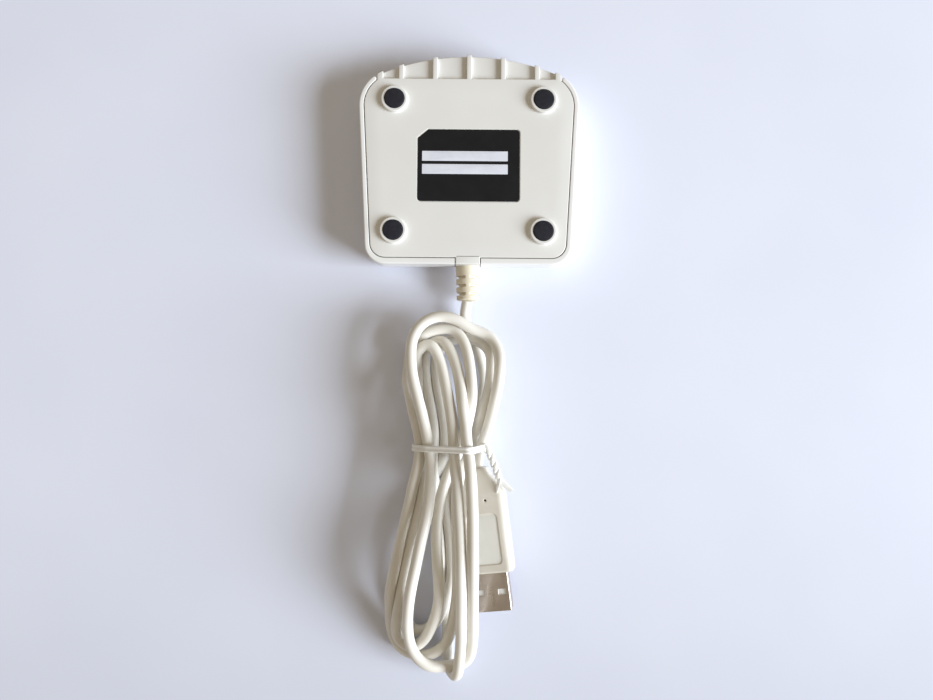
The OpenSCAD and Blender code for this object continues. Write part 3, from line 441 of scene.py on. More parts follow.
GRIP_W, GRIP_H, NECK_W, NECK_H, GRIP_LEN = 16.4, 8.0, 6.6, 6.2, 34.0
FRONT_EDGE, BACK_EDGE = 0.6, 0.8
PANEL_Y, PANEL_HALF_X, PANEL_HALF_Y, PANEL_R, PANEL_DEPTH = 11, 5.0, 8.1, 1.4, 0.28
DIMPLE_AT, DIMPLE_R, DIMPLE_DEPTH, SOFT_EDGE = (1.9, 23.6), 0.38, 0.5, 0.3
stations = [[0, 0.1, 0.3, 0.6], np.linspace(1, 26, 101), np.linspace(26.3, 33.4, 28), [33.7, 33.9, GRIP_LEN]]
y = np.concatenate(stations)[:, None]
narrow = step_up(y, 29.4, 9.5)
front = FRONT_EDGE * draw_in((FRONT_EDGE - y) / FRONT_EDGE)
back = BACK_EDGE * draw_in((y - GRIP_LEN + BACK_EDGE) / BACK_EDGE)
half_w = (GRIP_W / 2 - front) * (1 - narrow) + NECK_W / 2 * narrow - back
half_h = (GRIP_H / 2 - front) * (1 - narrow) + NECK_H / 2 * narrow - back
unit = rounded_rectangle(GRIP_W, GRIP_H, 2.2) / [GRIP_W / 2, GRIP_H / 2]
x, z = unit[:, 0] * half_w, unit[:, 1] * half_h
from_panel = box_distance(x, y - PANEL_Y, PANEL_HALF_X, PANEL_HALF_Y, PANEL_R)
from_dimple = np.hypot(x - DIMPLE_AT[0], y - DIMPLE_AT[1])
panel = 1 - step_up(from_panel, 0.0, SOFT_EDGE)
dimple = 1 - step_up(from_dimple, DIMPLE_R, SOFT_EDGE)
z = z - (PANEL_DEPTH * panel + DIMPLE_DEPTH * dimple) * (z > 0)
grip = piece("plug_grip_moulding", [skin(at_plug(points_at(x, y, z)))], grip_pvc, sharp=60)
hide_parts("plug_grip")

# %% Panel inlay and painted shade in the dimple
INLAY_W, INLAY_H, INLAY_R = 9.7, 15.9, 1.25
inlay_loop = rounded_rectangle(INLAY_W, INLAY_H, INLAY_R, flat=20, corner=8)
inlay_rows = [(1, 3.66), (1, 3.735), (0.985, 3.75), (0.5, 3.75), (0.02, 3.75)]
rings = np.stack([layer(inlay_loop * f + [0, PANEL_Y], z) for f, z in inlay_rows])
inlay = piece("plug_panel", [skin(at_plug(rings))], panel_pvc)

# Painted shade: a near-black disc fills the dimple to a little under the grip's face, for the shade inside it.
dimple_painted_shade, tree, shader = new_material("near-black painted shade in the dimple", Roughness=0.6)
vary_colour(tree, shader, speckle(tree, 0.4, 2), "#0E0C0A", "#161310")
disc = lathe([(0.44, 3.5), (0.44, 3.74), (0.02, 3.74)], DIMPLE_AT, 24)
dot = piece("plug_dimple", [skin(at_plug(disc))], dimple_painted_shade)

# %% [markdown]
# ## The plug's shell
# The shell is folded from one strip of nickel-plated steel, 0.35 mm thick, with two windows in each
# wide face. A single skin is made with the windows left open, and Solidify gives the strip its
# thickness, so that the edges of the windows are real.

# %% Shell
SHELL_W, SHELL_H, SHELL_LEN, SHELL_T, FOLD_R, SHELL_BACK = 12.0, 4.5, 12.6, 0.35, 0.5, 2
WINDOW_X, WINDOW_Y = (2.25, 4.75), (-7.44, -5.49)
nickel, tree, shader = new_material("nickel-plated steel, drawn", Metallic=1.0, Roughness=0.3)
vary_colour(tree, shader, speckle(tree, 5, 3), "#C6BAB0", "#D4CAC1")
vary_gloss(tree, shader, speckle(tree, 1.2, 4, (1, 0.15, 1)), 0.24, 0.4)
grain(tree, shader, speckle(tree, 0.25, 3, (1, 0.08, 1)), 0.003, 0.5)

wide, high = SHELL_W / 2 - FOLD_R, SHELL_H / 2 - FOLD_R
xs = np.unique(np.round([*np.linspace(-wide, wide, 23), *WINDOW_X, *(-v for v in WINDOW_X)], 3))
ys = np.unique(np.round([*np.linspace(-SHELL_LEN, SHELL_BACK, 25), *WINDOW_Y], 3))
zs = np.linspace(-high, high, 5)
q = np.linspace(0, np.pi / 2, 6)[1:-1]
section = np.concatenate(
    [
        points_at(SHELL_W / 2, zs),
        arc(wide, high, FOLD_R, q),
        points_at(xs[::-1], SHELL_H / 2),
        arc(-wide, high, FOLD_R, q + np.pi / 2),
        points_at(-SHELL_W / 2, zs[::-1]),
        arc(-wide, -high, FOLD_R, q + np.pi),
        points_at(xs, -SHELL_H / 2),
        arc(wide, -high, FOLD_R, q + 3 * np.pi / 2),
    ]
)
mouth = 1 - 0.02 * step_up(-ys, SHELL_LEN - 0.3, 0.6)[:, None]
shell_points = points_at(section[:, 0] * mouth, ys[:, None], section[:, 1] * mouth).reshape(-1, 3)
faces = quads(len(ys), len(section))
middle = shell_points[faces].mean(1)
across, along = np.abs(middle[:, 0]), middle[:, 1]
window = (across > WINDOW_X[0]) & (across < WINDOW_X[1]) & (along > WINDOW_Y[0]) & (along < WINDOW_Y[1])
window &= np.abs(middle[:, 2]) > high
shell = piece("plug_shell_strip", [(at_plug(shell_points), faces[~window].tolist())], nickel, sharp=30)
wall = shell.modifiers.new("strip thickness", "SOLIDIFY")
wall.thickness, wall.offset = SHELL_T * MM, -1
fold = shell.modifiers.new("stamped edge", "BEVEL")
fold.width, fold.segments, fold.limit_method, fold.angle_limit = 0.06 * MM, 2, "ANGLE", math.radians(50)
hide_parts("plug_shell")

# %% White insulator and its four contacts
white_pbt, tree, shader = new_material("white PBT insulator", Roughness=0.45)
vary_colour(tree, shader, speckle(tree, 2, 2), "#E9E7E2", "#F3F2EE")
gold, tree, shader = new_material("gold-plated contact strip", Metallic=1.0, Roughness=0.25)
vary_colour(tree, shader, speckle(tree, 1.5, 2), "#C99B3C", "#DDB35A")


def block(x0, x1, y0, y1, z0, z1):
    """A straight bar along the plug whose outline is a rounded rectangle."""
    o = rounded_rectangle(x1 - x0, z1 - z0, 0.08, flat=2, corner=4) + [(x0 + x1) / 2, (z0 + z1) / 2]
    return skin(at_plug(np.stack([points_at(o[:, 0], v, o[:, 1]) for v in (y0, y0 + 0.01, y1 - 0.01, y1)])))


INSULATOR_HALF, INSULATOR_FRONT, INSULATOR_T = 5.55, -12.2, 1.7
CONTACTS_X, CONTACT_HALF, CONTACT_Y = (-3.5, -1, 1, 3.5), 0.5, (-11.8, -4.4)
top_z = SHELL_H / 2 - SHELL_T - 0.02
bar = block(-INSULATOR_HALF, INSULATOR_HALF, INSULATOR_FRONT, SHELL_BACK, top_z - INSULATOR_T, top_z)
insulator = piece("plug_white_insulator", [bar], white_pbt)
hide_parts("plug_insulator")
bars = [block(x - CONTACT_HALF, x + CONTACT_HALF, *CONTACT_Y, top_z - 1.88, top_z - 1.66) for x in CONTACTS_X]
strips = piece("plug_contact_strips", bars, gold)
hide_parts("plug_contacts")

# %% [markdown]
# ## Twist tie
# A coated wire ribbon runs once round the bundle, which it pulls to a waist, and its ends are twisted
# together and bent away. The band is the convex hull of the strands that pass under it, carried round
# with a ribbon section whose two edges stand up where the wires lie.

# %% Tie band
TIE_Y, BAND_HALF, BAND_GAP = -93.8, 1.05, 0.35
tie_plastic, tree, shader = new_material("white PE ribbon over wire", Roughness=0.38)
vary_colour(tree, shader, speckle(tree, 2, 2), "#ECEBE6", "#F6F5F1")
grain(tree, shader, speckle(tree, 0.4, 2), 0.01, 0.6)


def hull_ring(points, margin):
    """Tight loop round circles of radius margin: for each direction the farthest circle, then evened out."""
    a = round_angles(360)
    direction = arc(0, 0, 1, a)
    reach = (points @ direction.T).max(0) + margin
    slope = (np.roll(reach, -1) - np.roll(reach, 1)) / (2 * a[1])
    return direction * reach[:, None] + points_at(-direction[:, 1], direction[:, 0]) * slope[:, None]


crossing = np.flatnonzero((line[:-1, 1] - TIE_Y) * (line[1:, 1] - TIE_Y) <= 0)
ring = hull_ring(line[crossing][:, [0, 2]], CABLE_D / 2 + BAND_GAP)
ring[:, 1] = np.maximum(ring[:, 1], BAND_GAP)
across = np.linspace(-1, 1, 17)
wires, rims = np.abs(across) - 0.62, np.maximum(np.abs(across) - 0.85, 0)
ridge = 0.32 + 0.22 * np.exp(-((wires / 0.3) ** 2)) - 0.3 * rims
over, under = points_at(across * BAND_HALF, ridge), points_at(across[::-1] * BAND_HALF, 0)
aside, rise = np.concatenate([over, under]).T
tangent = np.roll(ring, -1, 0) - np.roll(ring, 1, 0)
tangent /= np.maximum(np.linalg.norm(tangent, axis=1), 1e-9)[:, None]
x, z = ring[:, :1] + tangent[:, 1:] * rise, ring[:, 1:] - tangent[:, :1] * rise
band = piece("tie_ribbon", [skin(points_at(x, TIE_Y + aside, z), wrap_rows=True)], tie_plastic, sharp=50)
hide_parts("tie_band")

# %% Twisted ends
RIBBON_W = 1.9


def ribbon(path, thick, turns, phase, offset=0.0):
    """Flat oval section carried along a path, turned evenly by turns, its middle set off to one side."""
    n, b = frames(path)
    spin = phase + 2 * np.pi * turns * np.linspace(0, 1, len(path))[:, None]
    u = n * np.cos(spin) + b * np.sin(spin)
    v = b * np.cos(spin) - n * np.sin(spin)
    a = round_angles(20)[:, None]
    oval = u[:, None] * np.cos(a) * RIBBON_W / 2 + v[:, None] * np.sin(a) * thick / 2
    return path[:, None] + v[:, None] * offset + oval


twist_points = [[5.0, TIE_Y, 13.5], [5.8, -94.0, 13.7], [6.8, -94.7, 13.6], [7.75, -96.3, 13.3]]
twist_points += [[8.75, -98.6, 12.9], [9.7, -101.1, 12.5], [10.5, -103.4, 12.2]]
twist_path = spline(twist_points, 0.25)
long_end = spline([twist_path[-1], [11.9, -105.1, 11.9], [13.4, -106.7, 11.5], [14.65, -107.8, 11.1]], 0.3)
short_end = spline([twist_path[-1], [10.45, -105.2, 11.8], [10.1, -107.1, 11.3], [9.85, -108.3, 10.9]], 0.3)
twist_parts = [skin(ribbon(twist_path, 1.35, 2.2, phase, 0.58)) for phase in (0, np.pi)]
twist_parts += [skin(ribbon(long_end, 0.6, 0.1, 0.4)), skin(ribbon(short_end, 0.6, 0.1, 1.2))]
twist = piece("tie_twisted_ends", twist_parts, tie_plastic, sharp=60)
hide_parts("tie_twist")

# %% [markdown]
# ## ABS of the housing
# Both covers are moulded in ABS. The base cover has a fine eroded texture and reads as a warm grey
# white; the top cover, of which the rim shows, is smoother and whiter.

# %% ABS materials
base_abs, tree, shader = new_material(
    "ABS, warm grey white, fine texture", Roughness=0.5, Specular_IOR_Level=0.4
)
vary_colour(tree, shader, speckle(tree, 18, 2), "#E4E2DD", "#E8E6E1")
grain(tree, shader, speckle(tree, 0.28, 3), 0.008, 0.6)

top_abs, tree, shader = new_material("ABS, white, satin", Roughness=0.32)
vary_colour(tree, shader, speckle(tree, 20, 2), "#ECEAE7", "#F1F0ED")
grain(tree, shader, speckle(tree, 0.35, 3), 0.004, 0.5)

# %% [markdown]
# ## The housing's outline
# Seen from above the housing is bounded by five arcs, two rear corners, two front corners and a
# shallow front, with straight sides between them that draw in towards the rear. The arcs keep their
# centres when the outline is drawn in by an inset, so the rows cut at any inset match column by column.

# %% Outline
BODY_W, REAR_W, BODY_D, FRONT_R, REAR_R, ARC_R = 72.2, 67.4, 69.0, 12.0, 6.5, 76.0
MOUTH_HALF, TIP_R = 30.45, 0.75
FX, RX = BODY_W / 2 - FRONT_R, REAR_W / 2 - REAR_R
ARC_Y = BODY_D / 2 - ARC_R
FY = ARC_Y + math.sqrt((ARC_R - FRONT_R) ** 2 - FX**2)
RY = -BODY_D / 2 + REAR_R
TIP_ANGLE = math.acos((MOUTH_HALF + TIP_R - FX) / (FRONT_R - TIP_R))
ARC_FROM = math.atan2(FY - ARC_Y, FX)
# close columns up to the cable's opening and on both sides of its edge
rear_x = np.unique(np.round([*np.linspace(0, 4.3, 30), 4.08, 4.1, 4.24, 4.26, *np.linspace(5, RX, 8)], 4))


def half_outline(inset, rear_step):
    """Right half from the middle of the rear to that of the front: straight, corner, side, corner, arc."""
    ry, r1, r2 = RY + rear_step, FRONT_R - inset, REAR_R - inset
    d = np.array([FX - RX, FY - ry])
    side = math.atan2(d[1], d[0]) - math.acos((r2 - r1) / np.linalg.norm(d))
    rear_corner = arc(RX, ry, r2, np.linspace(-np.pi / 2, side, 24)[1:])
    q = np.concatenate([np.linspace(side, TIP_ANGLE - 0.002, 40), np.linspace(TIP_ANGLE, ARC_FROM, 12)])
    front_corner = arc(FX, FY, r1, q)
    f = np.linspace(0, 1, 14)[1:-1, None]
    straight = rear_corner[-1] * (1 - f) + front_corner[0] * f
    front = arc(0, ARC_Y, ARC_R - inset, np.linspace(ARC_FROM, np.pi / 2, 40)[1:])
    return np.concatenate([points_at(rear_x, ry - r2), rear_corner, straight, front_corner, front])


def outline(inset, rear_step=0.0):
    """Both halves, anticlockwise from the middle of the rear."""
    h = half_outline(inset, rear_step)
    return np.concatenate([h, (h * [-1, 1])[-2:0:-1]])


full = outline(0)
print("outline:", len(full), "points,", np.ptp(full, axis=0).round(2), "mm")

# %% [markdown]
# ## Top cover
# The top cover is a tray. Its wall is a profile, inset against height, carried round the outline: the
# rounded lower edge, the wall, the small round of the rim, the rim's flat and the inside. Where the
# card goes in and where the cable comes out the wall is lower, so there its rows are held down.

# %% Top cover
CASE_H, WALL, TOP_T, EDGE_R, SLOT_Z, DRAFT, DRAFT_TOP = 12.7, 1.5, 1.6, 4.0, 7.4, 0.25, 12.2
RIM_R, LIP_R, REAR_STEP, HOLE_R, HOLE_REACH = 0.45, 0.2, 0.45, 4.1, 4.25
PIPE_AT, PIPE_R = np.array([0, 6.0]), 1.6


def face_between(first, last, z):
    """Flat rows at height z that run from one loop to another."""
    f = np.linspace(0, 1, 5)[:, None]
    return points_at(first[:, 0] * (1 - f) + last[:, 0] * f, first[:, 1] * (1 - f) + last[:, 1] * f, z)


outside = [
    *bend((DRAFT + EDGE_R, 0), -EDGE_R, EDGE_R, 12, flat_first=True),
    *((DRAFT * (DRAFT_TOP - z) / (DRAFT_TOP - EDGE_R), z) for z in (5, 6, SLOT_Z, 9, 11)),
    *bend((0, CASE_H - RIM_R), RIM_R, RIM_R, 8),
]
inside = [
    *bend((WALL - LIP_R, CASE_H), LIP_R, -LIP_R, 8, flat_first=True),
    *((WALL, z) for z in (11, 9, SLOT_Z, 5, TOP_T)),
]
profile = [(*p, 0) for p in outside] + [(0.8, CASE_H, 0.2)] + [(*p, REAR_STEP) for p in inside]
loops = np.stack([outline(inset, rear_step) for inset, _, rear_step in profile])
heights = np.array([z for _, z, _ in profile])[:, None]

corner_angle = np.arctan2(full[:, 1] - FY, np.abs(full[:, 0]) - FX)
at_front = (full[:, 1] > FY) & (corner_angle > TIP_ANGLE - 0.001)
at_rear = (full[:, 1] < REAR_Y + 0.01) & (np.abs(full[:, 0]) < HOLE_REACH)
limit = np.full(len(full), np.inf)
limit[at_front] = SLOT_Z
limit[at_rear] = CABLE_Z - np.sqrt(np.clip(HOLE_R**2 - full[at_rear, 0] ** 2, 0, None))
walls = points_at(loops[..., 0], loops[..., 1], np.minimum(heights, limit))

away = full - PIPE_AT
pipe = PIPE_AT + PIPE_R * away / np.linalg.norm(away, axis=1)[:, None]
outer_face, inner_face = face_between(pipe, loops[0], 0), face_between(loops[-1], pipe, TOP_T)
tray_parts = [skin(np.concatenate([outer_face[:-1], walls, inner_face[1:]]), wrap_rows=True)]

POST_R, POST_ROUND, POST_AXIS_R = 0.74, 0.4, 0.01
low, high = SLOT_Z - 0.5, CASE_H - 0.02
post_round = bend((POST_R, high - POST_ROUND), -POST_ROUND, POST_ROUND)
tip = [(POST_AXIS_R, low), (POST_R, low), (POST_R, 12.2), *post_round, (POST_AXIS_R, high)]
for side in (-1, 1):
    cx, cy = arc(FX, FY, FRONT_R - TIP_R, TIP_ANGLE)
    tray_parts.append(skin(lathe(tip, (side * cx, cy), 28)))
top_cover = piece("top_cover_tray", tray_parts, top_abs, sharp=32)
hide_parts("top_cover")

# %% [markdown]
# ## Base cover
# The plate lies inside the rim with a fine seam round it, and its front edge is straight. It holds
# the label's shallow pocket and four round bosses for the feet. Its rows are taken at equal angles
# round the label, so the same columns can run from the plate's edge to the pocket's.

# %% Plate with the label's pocket
LABEL_AT, LABEL_W, LABEL_H, LABEL_R, LABEL_CUT = np.array([0, -2.1]), 33.3, 23.7, 1.1, (3.5, 2.9)
PLATE_FRONT, PLATE_T, SEAM, PLATE_R = 26.6, 1.6, 0.25, 0.25
POCKET_GAP, POCKET_R, POCKET_DEPTH = 0.3, 0.08, 0.2


def bearing(p):
    """Angles at which points are seen from the origin."""
    return np.arctan2(p[:, 1], p[:, 0])


def at_angles(loop):
    """Where rays from the label's middle, one for each of angles, meet a closed anticlockwise outline.

    The ray t d meets the side from p to p + e at t = (p x e) / (d x e), x being the flat cross product.
    """
    p = loop - LABEL_AT
    p = np.roll(p, -np.argmin(bearing(p)), 0)
    e = np.roll(p, -1, 0) - p
    i = np.searchsorted(bearing(p), angles, side="right") - 1
    d = arc(0, 0, 1, angles)
    reach = (p[i, 0] * e[i, 1] - p[i, 1] * e[i, 0]) / (d[:, 0] * e[i, 1] - d[:, 1] * e[i, 0])
    return LABEL_AT + d * reach[:, None]


def plate_loop(inset):
    """The plate's edge: the housing's outline inside the seam, cut straight at the front."""
    loop = outline(WALL + SEAM + inset, REAR_STEP)
    return points_at(loop[:, 0], np.minimum(loop[:, 1], PLATE_FRONT - inset))


def label_loop(margin):
    """The label's edge, grown by margin: three rounded corners and one cut off."""
    w, h, r, q = LABEL_W / 2 + margin, LABEL_H / 2 + margin, LABEL_R + margin, np.linspace(0, np.pi / 2, 9)
    quarters = [(w - r, h - r, 0), (r - w, r - h, 2), (w - r, r - h, 3)]
    rounded = [arc(x, y, r, q + k * np.pi / 2) for x, y, k in quarters]
    cut_off = [[-w + LABEL_CUT[0], h], [-w, h - LABEL_CUT[1]]]
    return LABEL_AT + np.concatenate([rounded[0], cut_off, *rounded[1:]])


def shrink(loop, share):
    """A loop drawn in towards the label's middle to a share of its size."""
    return LABEL_AT + (loop - LABEL_AT) * share


corners_seen = [bearing(loop - LABEL_AT) for loop in (plate_loop(0), label_loop(POCKET_GAP), label_loop(0))]
angles = np.unique(np.round(np.concatenate([np.linspace(-np.pi, np.pi, 721)[:-1], *corners_seen]), 5))
edge_bend = bend((0, CASE_H - PLATE_R), PLATE_R, PLATE_R, 7)
pocket_bend = bend((POCKET_GAP, CASE_H), -POCKET_R, -POCKET_R, 7, flat_first=True)
plate, flat_from = at_angles(plate_loop(0)), at_angles(plate_loop(PLATE_R))
pocket, pocket_foot = at_angles(label_loop(POCKET_GAP)), at_angles(label_loop(POCKET_GAP - POCKET_R))
rows = [layer(shrink(plate, 0.002), CASE_H - PLATE_T), layer(plate, CASE_H - PLATE_T)]
rows += [layer(at_angles(plate_loop(inset)), z) for inset, z in edge_bend]
rows += [layer(flat_from * (1 - f) + pocket * f, CASE_H) for f in (0.3, 0.6, 0.9, 0.985)]
rows += [layer(at_angles(label_loop(margin)), z) for margin, z in pocket_bend]
rows += [layer(loop, CASE_H - POCKET_DEPTH) for loop in (pocket_foot, shrink(pocket, 0.002))]
base_parts = [skin(np.stack(rows))]

# %% Bosses round the feet
FEET = [(x, y) for x in (-24.4, 24.4) for y in (19.5, -23.7)]
BOSS_R, BOSS_LOW, BOSS_FOOT_Z, BOSS_RIM_Z, RECESS_R, RECESS_Z = 4.3, 12.3, 12.69, 14.1, 3.35, 13.3
FOOT_FILLET, RIM_ROUND, RECESS_ROUND = 0.45, 0.3, 0.12
fillet_from = (BOSS_R + FOOT_FILLET, BOSS_FOOT_Z)
boss = [
    (AXIS_R, BOSS_LOW),
    (BOSS_R + FOOT_FILLET, BOSS_LOW),
    fillet_from,
    *bend(fillet_from, -FOOT_FILLET, FOOT_FILLET, 7, flat_first=True),
    *bend((BOSS_R, BOSS_RIM_Z - RIM_ROUND), -RIM_ROUND, RIM_ROUND, 7),
    *bend((RECESS_R + RECESS_ROUND, BOSS_RIM_Z), -RECESS_ROUND, -RECESS_ROUND, 7, flat_first=True),
    (RECESS_R, RECESS_Z),
    (AXIS_R, RECESS_Z),
]
base_parts += [skin(lathe(boss, c)) for c in FEET]

# %% [markdown]
# ## The card tongue
# In front of the plate a thin tongue reaches over the card's mouth, stiffened by five ribs and two end
# walls as high as the plate. Its front edge follows the housing's arc.

# %% Tongue, ribs and end walls
TONGUE_HALF, TONGUE_BACK, TONGUE_LOW, TONGUE_TOP, NOSE_R = 30.2, 25.0, 8.6, 11.4, 0.35
RIB_PITCH, RIB_W, RIB_EDGE, RIB_BACK, RIB_LOW = 11.15, 1.6, 0.18, 26.3, 10.2
END_WALL, END_BACK, END_LOW = 1.9, 24.6, 8.8


def front_y(x):
    """The housing's front edge at x: the arc, and the corner circles past it."""
    x = np.abs(x)
    on_arc = ARC_Y + np.sqrt(np.clip(ARC_R**2 - x**2, 0, None))
    on_corner = FY + np.sqrt(np.clip(FRONT_R**2 - (x - FX) ** 2, 0, None))
    return np.where(x < FX + FRONT_R * math.cos(ARC_FROM), on_arc, on_corner)


def rib(x0, x1, y0, z0, z1):
    """Wall from x0 to x1 that runs from y0 to the front edge, with rounded upper and front edges."""
    e = RIB_EDGE
    top = [*bend((x0, z1 - e), e, e, 5), *bend((x1 - e, z1), e, -e, 5, flat_first=True)]
    section = np.array([(x0, z0), *top, (x1, z0)])
    middle = np.array([(x0 + x1) / 2, (z0 + z1) / 2])
    rows = [points_at(section[:, 0], y0, section[:, 1])]
    for inset, back in bend((0, -e), e, e, 5):
        x, z = (section + np.clip(middle - section, -inset, inset)).T
        rows.append(points_at(x, front_y(x) + back, z))
    return skin(np.stack(rows))


x = np.linspace(-TONGUE_HALF, TONGUE_HALF, 122)
nose = [
    *bend((-NOSE_R, TONGUE_LOW), NOSE_R, NOSE_R, flat_first=True),
    *bend((0, TONGUE_TOP - NOSE_R), -NOSE_R, NOSE_R),
]
tongue = [points_at(x, TONGUE_BACK, TONGUE_LOW), *(points_at(x, front_y(x) + dy, z) for dy, z in nose)]
tongue += [points_at(x, TONGUE_BACK, TONGUE_TOP)]
base_parts.append(skin(np.stack(tongue, 1)))
centres, half = RIB_PITCH * np.arange(-2, 3), RIB_W / 2
base_parts += [rib(c - half, c + half, RIB_BACK, RIB_LOW, CASE_H - 0.02) for c in centres]
for x0 in (TONGUE_HALF - END_WALL, -TONGUE_HALF):
    base_parts.append(rib(x0, x0 + END_WALL, END_BACK, END_LOW, CASE_H - 0.01))

# %% Tab over the strain relief
TAB_HALF, TAB_R, SADDLE_R = 4.0, 0.3, 4.0
section = np.array(
    [
        *bend((-TAB_HALF, CASE_H - TAB_R), TAB_R, TAB_R),
        *bend((TAB_HALF - TAB_R, CASE_H), TAB_R, -TAB_R, flat_first=True),
        *arc(0, CABLE_Z + 0.1, SADDLE_R, np.linspace(0, np.pi, 24)),
    ]
)
x, z = section.T
tab_rows = [(0, 0.45), (0.1, 0.2), (0.25, 0.06), (0.45, 0.0), (2.6, 0.0)]
base_parts.append(skin(np.stack([points_at(x, REAR_Y + back, z - drop * (z > 11)) for back, drop in tab_rows])))
base_cover = piece("base_cover_plate", base_parts, base_abs, sharp=32)
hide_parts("base_cover")

# %% [markdown]
# ## Feet
# Four discs of black rubber, punched from sheet and pressed into the bosses, a little crowned and
# rounded at the edge by the die.

# %% Rubber feet
FOOT_R, FOOT_EDGE, FOOT_TOP = 3.25, 0.3, 14.5
rubber, tree, shader = new_material("black rubber, matt", Roughness=0.75, Specular_IOR_Level=0.3)
vary_colour(tree, shader, speckle(tree, 1.5, 3), "#1C1C23", "#27272F")
vary_gloss(tree, shader, speckle(tree, 0.8, 3), 0.65, 0.85)
grain(tree, shader, speckle(tree, 0.3, 3), 0.02, 0.8)
foot_profile = [
    (AXIS_R, RECESS_Z + 0.02),
    (FOOT_R, RECESS_Z + 0.02),
    *bend((FOOT_R, 14.12), -FOOT_EDGE, FOOT_EDGE, 7),
    (2.2, FOOT_TOP - 0.04),
    (1.1, FOOT_TOP - 0.01),
    (AXIS_R, FOOT_TOP),
]
names = ["foot_front_left", "foot_rear_left", "foot_front_right", "foot_rear_right"]
for name, centre in zip(names, FEET):
    foot = piece(name + "_disc", [skin(lathe(foot_profile, centre))], rubber)
    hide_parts(name)

# %% [markdown]
# ## Rating label
# The label is a black printed film with one corner cut, and two pale fields where a number would be
# written. It is left bare.

# %% Label and its fields
FILM_Z, FILM_TOP = CASE_H - POCKET_DEPTH, 12.65
film, tree, shader = new_material("black printed film, satin", Roughness=0.5, Specular_IOR_Level=0.3)
vary_colour(tree, shader, speckle(tree, 8, 2), "#121215", "#17171B")
vary_gloss(tree, shader, speckle(tree, 2.5, 3), 0.44, 0.56)
film_rows = [(0, FILM_Z), (0, FILM_TOP - 0.02), (-0.03, FILM_TOP), (-0.1, FILM_TOP), (-0.6, FILM_TOP)]
dot_in_middle = shrink(at_angles(label_loop(0)), 0.002)
rows = [layer(at_angles(label_loop(margin)), z) for margin, z in film_rows]
rows = [layer(dot_in_middle, FILM_Z), *rows, layer(dot_in_middle, FILM_TOP)]
label = piece("rating_label_film", [skin(np.stack(rows))], film)
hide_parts("rating_label")

field_ink, tree, shader = new_material("pale grey print", Roughness=0.45)
vary_colour(tree, shader, speckle(tree, 4, 2), "#DCDEE8", "#E6E8F0")
FIELD_W, FIELD_H, FIELD_R, FIELD_X, FIELDS_Y = 28, 3.25, 0.12, -1.2, (3.05, -1.25)
field_loop = rounded_rectangle(FIELD_W, FIELD_H, FIELD_R, flat=6, corner=4)
field_rows = [(1, -0.01), (1, 0.02), (0.99, 0.025), (0.01, 0.025)]
fields = []
for y in FIELDS_Y:
    middle = LABEL_AT + [FIELD_X, y]
    fields.append(skin(np.stack([layer(middle + field_loop * f, FILM_TOP + dz) for f, dz in field_rows])))
label_fields = piece("label_print_fields", fields, field_ink)
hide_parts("label_fields")


# %% [markdown]
# ## Parts inside
# The board and its parts keep the shapes of the model. They only need the finish of the real thing:
# solder mask, gold-plated spring metal, moulded epoxy, tinned leads and coloured wire.


# %% Finishes of the inner parts
def finish(name, dark, light, grain_mm, rough, metal=0.0):
    """One finish: a colour that runs between two tones in grains of grain_mm, with a fine bump."""
    m, tree, shader = new_material(name, Roughness=rough, Metallic=metal)
    fac = speckle(tree, grain_mm, 3)
    vary_colour(tree, shader, fac, dark, light)
    vary_gloss(tree, shader, fac, rough * 0.85, rough * 1.15)
    grain(tree, shader, fac, 0.01, 0.5)
    return m


finishes = {
    "main_board": finish("green solder mask", "#124A30", "#1C6B45", 3, 0.3),
    "contact_frame": finish("black glass-filled nylon", "#1C1C1F", "#2A2A2E", 0.8, 0.55),
    "contact_row_front": finish("gold-plated spring bronze", "#C99B3C", "#DDB35A", 1.5, 0.25, 1.0),
    "reader_chip": finish("moulded black epoxy", "#1A1A1D", "#252529", 0.4, 0.5),
    "chip_leads": finish("tinned copper leads", "#B4B5B7", "#CBCCCE", 0.8, 0.3, 1.0),
    "chip_parts": finish("brown ceramic with tinned ends", "#8C6A45", "#B79468", 0.7, 0.45),
    "status_led": finish("clear LED epoxy", "#DDE3CE", "#EDF1E2", 1, 0.2),
    "light_pipe": finish("frosted polycarbonate", "#CFDBD5", "#DDE7E2", 2, 0.25),
    "wire_header": finish("natural nylon", "#E6E2D2", "#F0EDE2", 2, 0.4),
    "wire_red": finish("red PVC wire", "#A51E22", "#BF2C30", 1.5, 0.4),
    "wire_white": finish("white PVC wire", "#DEDEDA", "#EBEBE8", 1.5, 0.4),
    "wire_green": finish("green PVC wire", "#23793D", "#2F944D", 1.5, 0.4),
    "wire_black": finish("black PVC wire", "#18181A", "#242427", 1.5, 0.4),
    "case_screws": finish("zinc-plated steel screw", "#A9AAAC", "#C4C5C7", 0.6, 0.3, 1.0),
}
same = {
    "contact_row_rear": "contact_row_front",
    "contact_tails": "contact_row_front",
    "detect_blade": "contact_row_front",
    "detect_post": "contact_row_front",
    "crystal": "chip_leads",
    "wire_housing": "wire_header",
}
for name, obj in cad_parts.items():
    chosen = finishes.get(same.get(name, name))
    if chosen:
        obj.data.materials.clear()
        obj.data.materials.append(chosen)
print("finishes:", len(finishes) + len(same), "inner nodes")
